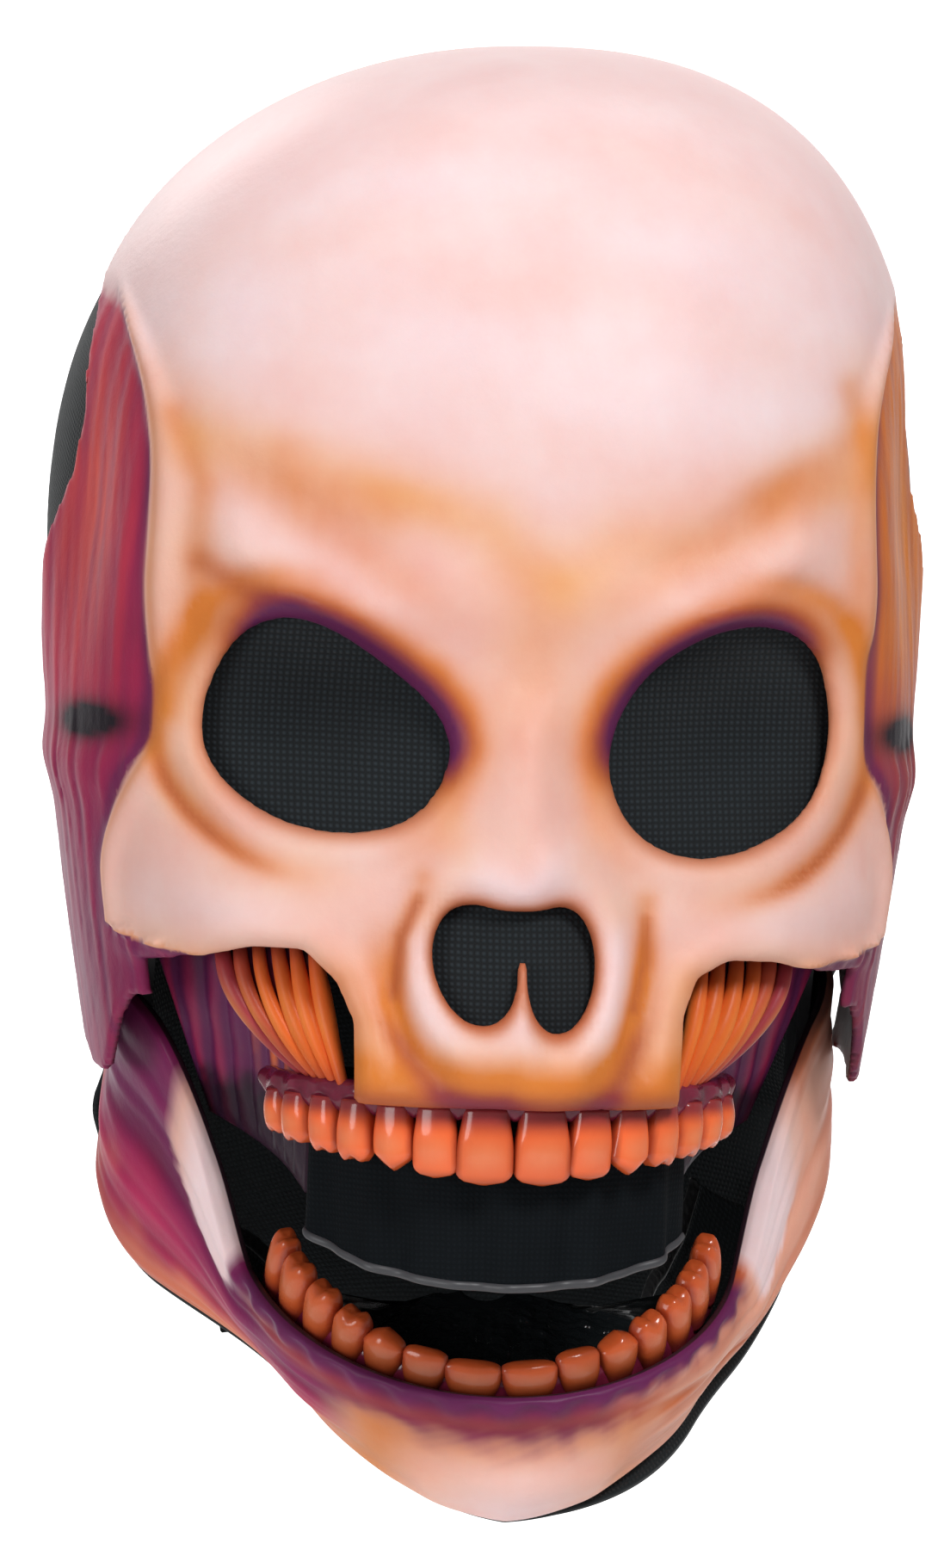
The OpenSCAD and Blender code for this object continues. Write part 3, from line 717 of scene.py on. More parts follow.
    # Muscle strands and everything behind the cheekbones' lower edge
    hollow = smooth(-under, 0.4, 2.2) * smooth(-y, 50, 54)
    c = blend_paint(c, (0.20, 0.02, 0.04), hollow)
    c = blend_paint(c, PURPLE, hollow * smooth(z, -56, -46))
    c = blend_paint(c, (0.05, 0.02, 0.03), inner * (1 - hollow) * 0.96)
    return np.clip(c, 0, 1)


# ---------------------------------------------------------------- layers of the form


def front_point(x, z, off):
    """Point of the form's layer at x and z, on the face side."""
    y = np.full(np.broadcast(x, z).shape, -80.0)
    for _ in range(6):
        o = off + relief(x, y, z)
        w, d, _ = form_sizes(z)
        part = 1 - np.abs((x - crown_lean(z)) / (w + o)) ** POWER - rise(z, o) ** POWER
        y = -(d + o) * np.maximum(part, 1e-4) ** (1 / POWER)
    return np.stack(np.broadcast_arrays(x, y, z), -1)


def side_point(y, z, side, off):
    """Point of the form's layer at y and z, on the side given as 1 or -1."""
    x = np.full(np.broadcast(y, z).shape, side * 85.0)
    for _ in range(6):
        o = off + relief(x, y, z)
        w, front, rear = form_sizes(z)
        part = 1 - np.abs(y / (np.where(y < 0, front, rear) + o)) ** POWER - rise(z, o) ** POWER
        x = crown_lean(z) + side * (w + o) * np.maximum(part, 1e-4) ** (1 / POWER)
    return np.stack(np.broadcast_arrays(x, y, z), -1)


def top_point(x, y, off):
    """Point of the form's layer at x and y, on the dome."""
    z = np.full(np.broadcast(x, y).shape, CROWN_Z)
    for _ in range(8):
        xs = x - crown_lean(z)
        d = np.where(y < 0, HEAD_FRONT, HEAD_BACK) + off
        inner = np.maximum(1 - np.abs(xs / (HEAD_W + off)) ** POWER - np.abs(y / d) ** POWER, 1e-4)
        z = WIDEST_Z + (CROWN_Z - WIDEST_Z + off) * inner ** (1 / POWER)
    return np.stack(np.broadcast_arrays(x, y, z), -1)


def rear_point(x, z, off):
    """Point of the form's layer at x and z, at the back of the head."""
    w, _, d = form_sizes(z)
    part = 1 - np.abs((x - crown_lean(z)) / (w + off)) ** POWER - rise(z, off) ** POWER
    y = (d + off) * np.maximum(part, 1e-4) ** (1 / POWER)
    return np.stack(np.broadcast_arrays(x, y, z), -1)


def weave_of(grid):
    """Distances along a grid's two directions, for cloth to be woven along."""
    across = np.linalg.norm(np.diff(grid, axis=1), axis=2)
    across = np.concatenate([np.zeros((len(grid), 1)), np.cumsum(across, axis=1)], axis=1)
    down = np.linalg.norm(np.diff(grid, axis=0), axis=2)
    down = np.concatenate([np.zeros((1, grid.shape[1])), np.cumsum(down, axis=0)])
    both = np.stack([across - across[:, -1:] / 2, down], -1).reshape(-1, 2)
    return np.concatenate([both, both])


def slab(outer, inner):
    """Closed mesh between two grids of points, rows by columns."""
    rows, columns = outer.shape[:2]
    n = rows * columns
    verts = np.concatenate([outer.reshape(-1, 3), inner.reshape(-1, 3)])
    faces = [grid_faces(rows, columns), grid_faces(rows, columns, start=n)[:, ::-1]]
    j, i = np.arange(columns - 1), np.arange(rows - 1)
    last = (rows - 1) * columns
    faces.append(np.stack([j + 1, j, j + n, j + 1 + n], -1))
    faces.append(np.stack([last + j, last + j + 1, last + j + 1 + n, last + j + n], -1))
    a, b = i * columns, i * columns + columns - 1
    faces.append(np.stack([a, a + columns, a + columns + n, a + n], -1))
    faces.append(np.stack([b + columns, b, b + n, b + columns + n], -1))
    return verts, np.concatenate(faces)


def facing_out(verts, faces):
    """The faces, turned over if the closed mesh they bound is inside out."""
    a, b, c, d = (verts[faces[:, k]] for k in range(4))
    volume = (np.cross(a, b) * c).sum() + (np.cross(a, c) * d).sum()
    return faces if volume > 0 else faces[:, ::-1]


def place(name, verts, faces, material, body, nodes=(), slot=None, **more):
    """Makes a piece and says what it rides on and which CAD nodes it replaces; the slot argument is not used.
    """
    if isinstance(faces, np.ndarray) and faces.shape[1] == 4:
        faces = facing_out(np.asarray(verts, float), faces)
    obj = make_object(name, verts, faces, material, **more)
    if body:
        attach(obj, body)
    if nodes:
        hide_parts(*nodes)
    return obj


def join(parts):
    """One mesh out of several (verts, faces)."""
    verts, faces, start = [], [], 0
    for v, f in parts:
        verts.append(v)
        faces.append(f + start)
        start += len(v)
    return np.concatenate(verts), np.concatenate(faces)


def open_jaw(p):
    """Turns points of the closed jaw about the hinge to where it stands at rest."""
    y, z = p[..., 1] - HINGE_Y, p[..., 2] - HINGE_Z
    c, s = math.cos(OPEN), math.sin(OPEN)
    return np.stack([p[..., 0], HINGE_Y + c * y - s * z, HINGE_Z + s * y + c * z], -1)


def unit(v):
    return v / np.maximum(np.linalg.norm(v, axis=-1, keepdims=True), 1e-9)


# ---------------------------------------------------------------- jaw casting


def jaw_outer(a, v):
    """Point of the closed jaw at plan angle a in degrees, at share v from its top to its border."""
    g, side = np.abs(a), np.sign(a)
    back = smooth(g, 54, 76)
    along = np.radians(np.minimum(90, g * 1.45))
    rad = np.radians(g)
    rim = ARCH_R + 3
    top = [mix(rim * np.sin(along), JAW_W * np.sin(rad), back),
           mix(ARCH_Y - rim * np.cos(along), JAW_Y - JAW_LEN * np.cos(rad), back),
           mix(JAW_TOP, RAMUS_TOP, smooth(g, 54, 72))]
    low = [JAW_W * np.sin(rad) * (0.73 + 0.27 * smooth(g, 44, 80)),
           JAW_Y - (JAW_LEN - 2) * np.cos(rad),
           CHIN_Z + 12 * g / 90 + 26 * smooth(g, 68, JAW_REAR + 8)]
    swell = 3 * np.sin(np.pi * v) * (1 - back)
    s = smooth(v, -0.35, 1.35) * 1.28 - 0.14
    p = [mix(t, l, s) for t, l in zip(top, low)]
    return np.stack([
        side * (p[0] - 3 * smooth(g, 78, JAW_REAR)) + side * swell * np.sin(rad)
        + JAW_SKEW * (1 - back) * (0.5 + 0.5 * v),
        p[1] - swell * np.cos(rad), p[2]], -1)


def jaw_point(a, v, inset):
    along = jaw_outer(a + 1, v) - jaw_outer(a - 1, v)
    down = jaw_outer(a, v + 0.05) - jaw_outer(a, v - 0.05)
    return jaw_outer(a, v) + np.asarray(inset)[..., None] * unit(np.cross(along, down))


def jaw_strands(a, v):
    """Muscle bundles that run along the jaw, fanned out at its rear: from -1 to 1."""
    g = np.abs(a)
    lane = 34 * v + 5 * np.sin(g * 0.055) + 3 * smooth(g, 50, 80) * (v - 0.3)
    p = np.stack(np.broadcast_arrays(0.16 * g, lane, 3.0 * np.sign(a)), -1)
    return np.clip(noise(p, 9.0, 24) * 1.5, -1, 1)


def jaw_detail(a, v):
    """How far the jaw's outer surface stands out from the plain form."""
    g = np.abs(a)
    side = smooth(g, 22, 40)
    chin = (
        2.6 * bump(a, 2, 15) * bump(v, 0.72, 0.24)
        - 1.4 * bump(a, 2, 20) * bump(v, 0.30, 0.13)
        + 0.9 * bump(a, -13, 5) * bump(v, 0.75, 0.2) + 0.9 * bump(a, 17, 5) * bump(v, 0.75, 0.2)
    )
    roots = 0.8 * np.cos(2 * np.pi * g * 1.45 / 11.4) * bump(v, 0.06, 0.12) * (1 - smooth(g, 50, 58))
    plate = 1.8 * bump(g, 60, 6) * smooth(v, -0.05, 0.08) * (1 - smooth(v, 0.3, 0.55))
    fibres = 1.0 * jaw_strands(a, v) * side * smooth(v, 0.12, 0.3)
    border = 1.0 * bump(v, 0.93, 0.06) * (1 - 0.5 * side)
    jowl = 5.5 * bump(a, 68, 12) * bump(v, 0.60, 0.19)
    return chin + roots * (1 - smooth(v, 0.15, 0.3)) + plate + fibres + border + jowl


def build_jaw():
    """The jaw casting: outer layer, inner layer and the rim between them."""
    columns, rows = 280, 70
    a = np.linspace(-JAW_REAR, JAW_REAR, columns)[None, :] * np.ones((rows, 1))
    v = (0.5 - 0.5 * np.cos(np.pi * np.linspace(0, 1, rows)))[:, None] * np.ones((1, columns))
    v = 0.6 * v + 0.4 * np.linspace(0, 1, rows)[:, None]
    depth = np.linalg.norm(jaw_outer(a, v * 0 + 1) - jaw_outer(a, v * 0), axis=-1)
    ends = (JAW_REAR - np.abs(a)) * 1.35
    near = np.minimum(np.minimum(v, 1 - v) * depth, ends)
    edge = np.clip(near / 1.5, 0, 1)
    fade = smooth(near, 0, 4)
    round_in = 1.5 * (1 - np.sqrt(np.maximum(0, 1 - (1 - edge) ** 2)))
    detail = jaw_detail(a, v) * fade
    outer = jaw_point(a, v, round_in - detail - 0.25)
    inner = jaw_point(a, v, JAW_T - round_in)
    verts, faces = slab(outer, inner)
    colours = np.concatenate([
        jaw_paint_and_shade(a, v, open_jaw(outer), detail).reshape(-1, 3),
        np.tile((0.03, 0.012, 0.02), (rows * columns, 1))])
    place("jaw_casting", open_jaw(verts), faces, JAW_LATEX, "jaw", ["jaw_shell"], "jaw_latex",
          colours=colours)


def jaw_paint_and_shade(a, v, p, detail):
    """Air-brushed colours of the jaw's outer surface, with painted shade on the wearer's right and painted
    light on its raised relief.
    """
    shape = a.shape
    a, v, p = a.ravel(), v.ravel(), p.reshape(-1, 3)
    x = p[:, 0]
    g = np.abs(a)
    cloud, fine = noise(p, 30, 21), noise(p, 8, 22)
    strands = 0.5 + 0.5 * jaw_strands(a, v)
    left = smooth(x, 14, 40)
    # Flesh, one paint lit and shaded: painted shade makes it dark red and purple on the wearer's right,
    # painted light makes it pink with orange strands on the left
    shaded_flesh = np.array((0.50, 0.022, 0.095))[None] * (0.38 + 0.75 * strands[:, None])
    pink = np.array((0.80, 0.38, 0.27))
    groove = np.clip(1.35 - 2.0 * strands + 0.2 * cloud, 0, 1)[:, None]
    lit_flesh = pink + (np.array((0.60, 0.13, 0.03)) - pink) * groove
    c = shaded_flesh + (lit_flesh - shaded_flesh) * left[:, None]
    c = blend_paint(c, (0.17, 0.015, 0.10), 0.8 * (1 - left) * (1 - smooth(v + 0.10 * cloud, 0.30, 0.75)))
    c = blend_paint(c, (0.80, 0.24, 0.12), 0.85 * (1 - left) * smooth(v + 0.15 * cloud, 0.66, 0.95))
    c = blend_paint(c, PURPLE, 0.60 * smooth(g, 60, 80) * (1 - 0.75 * left) * (0.6 + 0.4 * (1 - strands)))
    c = blend_paint(c, (0.45, 0.05, 0.05), 0.45 * smooth(g, 70, 86) * left)
    # Bone of the chin
    chin = smooth(x, -36, -20) * (1 - smooth(x, 26, 42)) * smooth(v + 0.05 * fine, 0.24, 0.5)
    c = blend_paint(c, BONE, chin)
    c = blend_paint(c, PALE, 0.7 * chin * bump(x, 6, 20) * smooth(v, 0.5, 0.8))
    c = blend_paint(c, PEACH, 0.5 * chin * (1 - bump(x, 8, 20)))
    c = blend_paint(c, ORANGE, 0.85 * bump(x, -24, 8) * chin + 0.6 * bump(x, 33, 6) * chin)
    c = blend_paint(c, ORANGE, 0.8 * chin * (1 - smooth(v, 0.3, 0.55)))
    # Plates that rise to the cheeks, narrower downwards
    plate = bump(g, 61.5, 5.5) * (1 - smooth(v + 0.04 * fine, 0.30, 0.46))
    plate = smooth(plate, 0.25, 0.55)
    c = blend_paint(c, PALE, plate)
    c = blend_paint(c, ORANGE, plate * 0.55 * bump(g, 67, 2.4))
    # Gum colour under the teeth
    gum = (1 - smooth(v + 0.05 * fine, 0.05, 0.24)) * (1 - smooth(g, 50, 57))
    c = blend_paint(c, PURPLE, gum)
    c = blend_paint(c, RUST, 0.5 * bump(v, 0.22, 0.08) * (1 - smooth(g, 48, 56)))
    # Painted light and shade: raised relief lighter, hollows darker, in full on the wearer's right and a
    # fifth as much on the left
    c = c * (1 + 0.10 * np.clip(detail.ravel(), -1.5, 1.5) * (1 - 0.8 * left))[:, None]
    return np.clip(c, 0, 1).reshape(*shape, 3)


# ---------------------------------------------------------------- teeth and gums

TOOTH_WIDTHS = [12.4, 10, 9.6, 9, 9, 9.6, 8]
TOOTH_RISE = 1.2  # how much higher each tooth ends than the one before


def tooth_mesh(width, depth, height, kind, seed):
    """One tooth with its root end at z = 0 and its biting end at z = -height, its face towards -Y."""
    rng = np.random.default_rng(seed)
    rows, columns = 22, 28
    t = np.linspace(0, 1, rows) ** 0.85
    turn = np.linspace(0, 2 * np.pi, columns, endpoint=False)
    tip = 0.80 if kind == "front" else 0.74
    cap = np.sqrt(np.maximum(0, 1 - (np.clip((t - tip) / (1 - tip), 0, 1)) ** 2.4))
    taper = 0.80 + 0.20 * smooth(t, 0.0, 0.62)
    wide = 0.5 * (width - 0.25) * taper * (0.14 + 0.86 * cap)
    thin = 0.42 if kind == "front" else 0.12
    deep = 0.5 * depth * (1 - thin * smooth(t, 0.35, 1)) * (0.2 + 0.8 * cap)
    e = 2 / (3.1 if kind == "front" else 2.6)
    c, s = np.cos(turn), np.sin(turn)
    x = wide[:, None] * (np.sign(c) * np.abs(c) ** e)[None]
    y = deep[:, None] * (np.sign(s) * np.abs(s) ** e)[None]
    face = np.clip(-s, 0, 1)[None]
    lobes = np.cos(x / width * 2 * np.pi * 1.5) * 0.22 * smooth(t, 0.2, 0.7)[:, None]
    y = y - face * (lobes + 0.55 * np.sin(np.pi * np.clip(t * 1.05, 0, 1))[:, None])
    z = -height * t[:, None] * np.ones_like(x)
    if kind == "canine":
        z = z * (1 - 0.17 * smooth(t, 0.6, 1)[:, None] * (np.abs(x) / (width / 2)))
        z = z * (1 + 0.02)
    if kind == "back":
        z = z + height * 0.05 * smooth(t, 0.75, 1)[:, None] * np.cos(x / width * 4 * np.pi)
    x = x + 0.35 * rng.normal() * t[:, None]
    y = y + 0.25 * rng.normal() * t[:, None]
    verts = np.stack([x, y, z], -1).reshape(-1, 3)
    return verts, post_faces(rows, columns), np.repeat(t, columns), x.ravel() / (width / 2)


def build_teeth(name, radius, root, edge, body, opened, shift, node, dim, seed):
    """One row of crowns along the arch of a jaw, each with its own tilt and tone, a painted highlight down
    its face and painted shade at its sides.
    """
    parts, colours = [], []
    for side in (-1, 1):
        start = 0.0
        for i, width in enumerate(TOOTH_WIDTHS):
            angle = side * (start + width / 2) / radius
            start += width
            tip = edge + TOOTH_RISE * i
            kind = "front" if i < 2 else "canine" if i == 2 else "back"
            depth = 6.0 if i < 3 else 6.6
            v, f, share, across = tooth_mesh(width, depth, abs(tip - root), kind, seed + 10 * i + side)
            if tip > root:
                v = v * np.array([1, 1, -1])
                f = f[:, ::-1]
            c, s = math.cos(angle), math.sin(angle)
            x, y = v[:, 0], v[:, 1] - radius + 3.0
            px, py = c * x - s * y, s * x + c * y
            v = np.stack([px, py + ARCH_Y, v[:, 2] + root], -1)
            parts.append((v, f))
            rng = np.random.default_rng(seed * 7 + i * 3 + side)
            # dim is painted shade: below 1 it darkens the whole row
            base = np.array((0.86, 0.135, 0.030)) * (0.9 + 0.2 * rng.random()) * dim
            col = np.tile(base, (len(v), 1))
            # Painted highlight down the middle of each face (glow) and painted shade at its sides
            glow = 0.5 * bump(share, 0.62, 0.22) * (1 - across**2)
            col = blend_paint(col, (0.85 * dim, 0.30 * dim, 0.14 * dim), glow)
            col = blend_paint(col, (0.20, 0.015, 0.03), 0.9 * (1 - smooth(share, 0.10, 0.42)))
            col = blend_paint(col, (0.30, 0.04, 0.02), 0.75 * smooth(np.abs(across), 0.72, 1.0))
            col = blend_paint(col, (0.42, 0.07, 0.02), 0.6 * smooth(share, 0.86, 1.0))
            if opened:
                # The front teeth are in shadow towards their roots
                shadow = 0.55 * smooth(-float(i), -4.5, -1.0) * smooth(share, 0.9, 0.2)
                col = col * (1 - shadow)[:, None]
            colours.append(np.clip(col, 0, 1))
    verts, faces = join(parts)
    verts = verts + np.array([shift, 0, 0])
    if opened:
        verts = open_jaw(verts)
    place(name, verts, faces, TOOTH_PAINT, body, [node], "tooth_paint", colours=np.concatenate(colours))


def build_gum(name, radius, z_in, z_edge, body, opened, shift, node, seed):
    """Scalloped band of gum that the teeth of one arch stand in."""
    columns, half = 260, math.radians(81)
    turn = np.linspace(-half, half, columns)
    arc = np.abs(turn) * radius
    joints = np.cumsum([0] + TOOTH_WIDTHS)
    near = np.min(np.abs(arc[:, None] - joints[None]), axis=1)
    papilla = np.clip(1 - near / 3.6, 0, 1) ** 0.7
    rows = 20
    s = np.linspace(0, 2 * np.pi, rows, endpoint=False)
    towards = 1 if z_edge > z_in else -1
    reach = abs(z_edge - z_in) + 2.4 * papilla - 1.2
    r_mid, r_half = radius - 2.9, 2.3
    swell = 0.55 * (1 - papilla)
    r = r_mid + (r_half + swell[None, :]) * np.cos(s)[:, None]
    z = z_in + towards * (0.5 + 0.5 * np.sin(s)[:, None]) * reach[None, :]
    x = r * np.sin(turn)[None] + shift
    y = ARCH_Y - r * np.cos(turn)[None]
    p = np.stack([x, y, z], -1)
    verts, faces = p.reshape(-1, 3), tube_faces(rows, columns)
    if opened:
        verts = open_jaw(verts)
    grain = noise(verts, 6, seed)
    colours = np.tile((0.16, 0.012, 0.035), (len(verts), 1)) * (1 + 0.35 * grain)[:, None]
    place(name, verts, faces, TOOTH_PAINT, body, [node], "tooth_paint", colours=np.clip(colours, 0, 1))


# ---------------------------------------------------------------- meshes, screen, webs and mouth lining


def outline_sheet(distance, centre, grow, off, thick, rings=26, spokes=96):
    """Sheet on the face's layer, out to where the distance to a hole's outline is grow."""
    angle = np.linspace(0, 2 * np.pi, spokes + 1)
    far = np.linspace(0, 60, 600)
    edge = []
    for t in angle:
        d = distance(centre[0] + far * math.cos(t), centre[1] + far * math.sin(t))
        edge.append(far[np.argmax(d > grow)])
    edge = np.array(edge)
    share = np.linspace(0.02, 1, rings)[:, None]
    x = centre[0] + share * edge[None] * np.cos(angle)[None]
    z = centre[1] + share * edge[None] * np.sin(angle)[None]
    front, rear = front_point(x, z, off), front_point(x, z, off - thick)
    n = rings * (spokes + 1)
    verts = np.concatenate([front.reshape(-1, 3), rear.reshape(-1, 3)])
    c = spokes + 1
    j = np.arange(spokes)
    rim = (rings - 1) * c
    half = spokes // 2
    k = np.arange(half - 1)
    middle = np.stack([k, k + 1, spokes - 2 - k, spokes - 1 - k], -1)
    faces = np.concatenate([
        grid_faces(rings, c), grid_faces(rings, c, start=n)[:, ::-1],
        np.stack([rim + j, rim + j + 1, rim + j + 1 + n, rim + j + n], -1), middle[:, ::-1], middle + n])
    return merge_seam(verts, faces, c)


def merge_seam(verts, faces, columns):
    """Joins the last column of each row to the first."""
    index = np.arange(len(verts))
    last = index % columns == columns - 1
    index[last] -= columns - 1
    faces = index[faces]
    used, small = np.unique(faces, return_inverse=True)
    return verts[used], small.reshape(faces.shape)


def build_meshes():
    """The dark mesh behind both eye holes and behind the nose hole."""
    for name, outline, centre, node in (
            ("right_eye_scrim", EYE_RIGHT, (-40, 0), "right_eye_mesh"),
            ("left_eye_scrim", EYE_LEFT, (43, 0), "left_eye_mesh")):
        def gap(x, z, outline=outline):
            return polygon_distance(x, z, outline) - EYE_ROUND
        verts, faces = outline_sheet(gap, centre, 4.5, -LATEX - 0.3, 0.7)
        obj = place(name, verts, faces, SCRIM, "skull", [node], "scrim", weave=verts[:, [0, 2]])
    verts, faces = outline_sheet(nose_distance, (0, -47), 3.6, -LATEX - 0.3, 0.7)
    obj = place("nose_scrim", verts, faces, SCRIM, "skull", ["nose_mesh"], "scrim", weave=verts[:, [0, 2]])


def build_mouth_screen():
    """Black cloth that hangs behind the upper teeth, with a rolled hem along its lower edge."""
    columns, rows = 150, 46
    turn = np.radians(np.linspace(-70.5, 70.5, columns))[None, :]
    drop = np.linspace(0, 1, rows)[:, None]
    bottom = -115.4 + 6.5 * (turn / 1.06) ** 2
    z = -71 + (bottom + 71) * drop
    wave = 0.9 * drop * (np.sin(turn * 15 + 0.6) + 0.5 * np.sin(turn * 27 + 2)) - 1.0 * drop
    r = 41.3 + wave + 1.0 * drop * smooth(np.abs(turn), 0.5, 1.1)
    def at(r):
        return np.stack(np.broadcast_arrays(r * np.sin(turn), ARCH_Y - r * np.cos(turn), z), -1)
    verts, faces = slab(at(r + 0.4), at(r - 0.4))
    obj = place("mouth_screen_cloth", verts, faces, SCREEN, "skull", ["mouth_screen"], "scrim",
                weave=weave_of(at(r)))
    s = np.linspace(0, 2 * np.pi, 14, endpoint=False)[:, None]
    rr = r[-1][None] + 1.0 * np.cos(s)
    hem_z = bottom + 0.2 + 1.0 * np.sin(s)
    ring = np.stack(np.broadcast_arrays(rr * np.sin(turn), ARCH_Y - rr * np.cos(turn), hem_z), -1)
    hem = place("mouth_screen_hem", ring.reshape(-1, 3), tube_faces(len(s), columns), HEM, "skull",
                slot="binding_tape")
    for piece in (obj, hem):
        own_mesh(piece)


def web_point(u, v, off):
    bow = 6 * np.sin(np.pi * u) * (0.3 + 0.7 * v)
    return np.stack([41 + 30 * u - 2 * v - 12 * u * v - bow * 0.5 - off * 0.8,
                     -72 + 44 * u + 24 * v * (1 - 0.6 * u) + bow * 0.4 + off * 0.6,
                     -48 - (52 - 14 * u) * v], -1)


def build_webs():
    """The dark latex under both cheekbones, reaching down from the skull."""
    u, v = spread(70, 90, (0, 1), (0, 1))
    for side, name, node in ((1, "left_web", "left_cheek_web"), (-1, "right_web", "right_cheek_web")):
        drift = noise(np.stack([u * 40, v * 16, 0 * u + side], -1), 17, 33)
        lane = (u * 1.1 - 0.22 * v + 0.035 * drift) * 6.4
        ridge = np.abs(np.sin(np.pi * lane)) ** 1.2 * (0.75 + 0.25 * drift)
        fade = smooth(np.minimum(np.minimum(u, 1 - u) * 50, np.minimum(v, 1 - v) * 48), 0, 5)
        fold = 0.5 * np.sin(v * 17 + 3 * u) * fade
        outer = web_point(u, v, -(1.5 * ridge * fade * (1 - 0.5 * u) + 0.4 * fold))
        inner = web_point(u, v, 1.4 + 0 * u)
        outer[..., 0] *= side
        inner[..., 0] *= side
        verts, faces = slab(outer, inner)
        p = outer.reshape(-1, 3)
        cloud = noise(p, 9, 31)
        c = np.tile(PURPLE, (len(p), 1)) * 0.9
        hot = (1 - smooth(u.ravel() + 0.10 * cloud, 0.26, 0.55)) * smooth(ridge.ravel(), 0.30, 0.85)
        hot = hot * (1 - smooth(v.ravel(), 0.45, 0.7))
        c = blend_paint(c, (0.66, 0.13, 0.03), 0.95 * hot)
        c = blend_paint(c, FLESH, 0.7 * smooth(u.ravel(), 0.5, 0.9) * smooth(ridge.ravel(), 0.2, 0.9))
        c = blend_paint(c, DARK, 0.9 * smooth(v.ravel() - 0.25 * u.ravel() + 0.06 * cloud, 0.42, 0.62))
        c = blend_paint(c, (0.05, 0.008, 0.03), 0.7 * bump(v.ravel(), 0, 0.14))
        colours = np.concatenate([np.clip(c, 0, 1), np.tile((0.05, 0.01, 0.03), (len(p), 1))])
        obj = place(name, verts, faces, WEB_LATEX, None, [node], "web_latex", colours=colours)
        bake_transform(obj)


def build_strands():
    """Muscle strands in the hollow under each cheekbone, drawn taut from the bone to the upper jaw."""
    parts, colours = [], []
    rng = np.random.default_rng(71)
    rows, columns = 30, 14
    t = np.linspace(0, 1, rows)
    turn = np.linspace(0, 2 * np.pi, columns, endpoint=False)
    for side in (-1, 1):
        for k in range(6):
            share = k / 5
            start = np.array((59 - 18 * share, -63 - 9.5 * share, -44.0))
            end = np.array((42 - 7.5 * share, -71.5 - 11 * share, -72 - 2.5 * share))
            bow = 5.5 - 4.5 * share + rng.uniform(-0.6, 0.6)
            line = start + (end - start) * t[:, None]
            line = line + np.array([bow, -0.4 * bow, 0])[None] * np.sin(np.pi * t)[:, None] ** 0.9
            radius = (1.15 + 0.8 * np.sin(np.pi * t) ** 0.8) * rng.uniform(0.85, 1.15)
            radius = radius * (1 + 0.10 * np.sin(7 * t + k))
            way = unit(np.gradient(line, axis=0))
            a = unit(np.cross(way, np.array([0.3, 1.0, 0.1])))
            b = np.cross(way, a)
            ring = line[:, None] + radius[:, None, None] * (
                np.cos(turn)[None, :, None] * a[:, None] + np.sin(turn)[None, :, None] * b[:, None])
            verts = ring.reshape(-1, 3) * np.array([side, 1, 1])
            faces = post_faces(rows, columns)
            parts.append((verts, faces if side > 0 else faces[:, ::-1]))
            tt = np.repeat(t, columns)
            c = np.tile(np.array((0.80, 0.15, 0.025)) * rng.uniform(0.75, 1.1), (len(verts), 1))
            c = blend_paint(c, (0.26, 0.02, 0.06), np.full(len(verts), max(0.0, 0.85 - 0.42 * k)))
            c = blend_paint(c, (0.36, 0.03, 0.03), 0.8 * bump(tt, 0, 0.22) + 0.5 * bump(tt, 1, 0.12))
            glint = 0.5 * bump(tt, 0.55, 0.2) * np.tile(np.cos(turn) ** 2, rows)
            c = blend_paint(c, (0.82, 0.32, 0.08), glint)
            colours.append(np.clip(c, 0, 1))
    verts, faces = join(parts)
    place("muscle_strands", verts, faces, WEB_LATEX, "skull", slot="skull_latex",
          colours=np.concatenate(colours))


def build_mouth_floor():
    """Glossy crinkled lining behind the lower teeth, a shallow tray."""
    columns = 240
    turn = np.radians(np.linspace(-69.5, 69.5, columns))
    pr = np.array(
        [(5.3, -111.0)] + [(r, -109.6) for r in np.linspace(5.3, 41.4, 54)]
        + [(40.2 + 1.2 * math.sin(t), -108.4 - 1.2 * math.cos(t)) for t in np.radians([22.5, 45, 67.5, 90])]
        + [(41.4, z) for z in np.linspace(-107.5, -99.6, 12)] + [(41.7, -99.1), (42.3, -99.1), (42.6, -99.6)]
        + [(42.6, z) for z in np.linspace(-101, -110.2, 8)] + [(42.2, -111.0)]
        + [(r, -111.0) for r in np.linspace(40, 7, 14)])
    n = len(pr)
    r = pr[:, 0][:, None] * np.ones((1, columns))
    z = pr[:, 1][:, None] * np.ones((1, columns))
    p = np.stack([3 + r * np.sin(turn), ARCH_Y - r * np.cos(turn), z], -1)
    inside = np.zeros(n)
    inside[2:68] = 1
    crinkle = 0.75 * noise(p, 7.5, 41) + 0.8 * np.abs(noise(p, 4.5, 42))
    flat = (pr[:, 1] < -108)[:, None] & (inside[:, None] > 0)
    lift = crinkle * inside[:, None] * smooth(r, 6, 12)
    p[..., 2] += np.where(flat, lift, 0)
    wall = (pr[:, 1] >= -108)[:, None] & (inside[:, None] > 0)
    p[..., 0] -= np.where(wall, lift * np.sin(turn), 0) * 0.8
    p[..., 1] += np.where(wall, lift * np.cos(turn), 0) * 0.8
    place("mouth_lining", open_jaw(p.reshape(-1, 3)), tube_faces(n, columns), GLOSS_BLACK, "jaw",
          ["mouth_floor"], "gloss_black")


# ---------------------------------------------------------------- hood and closure


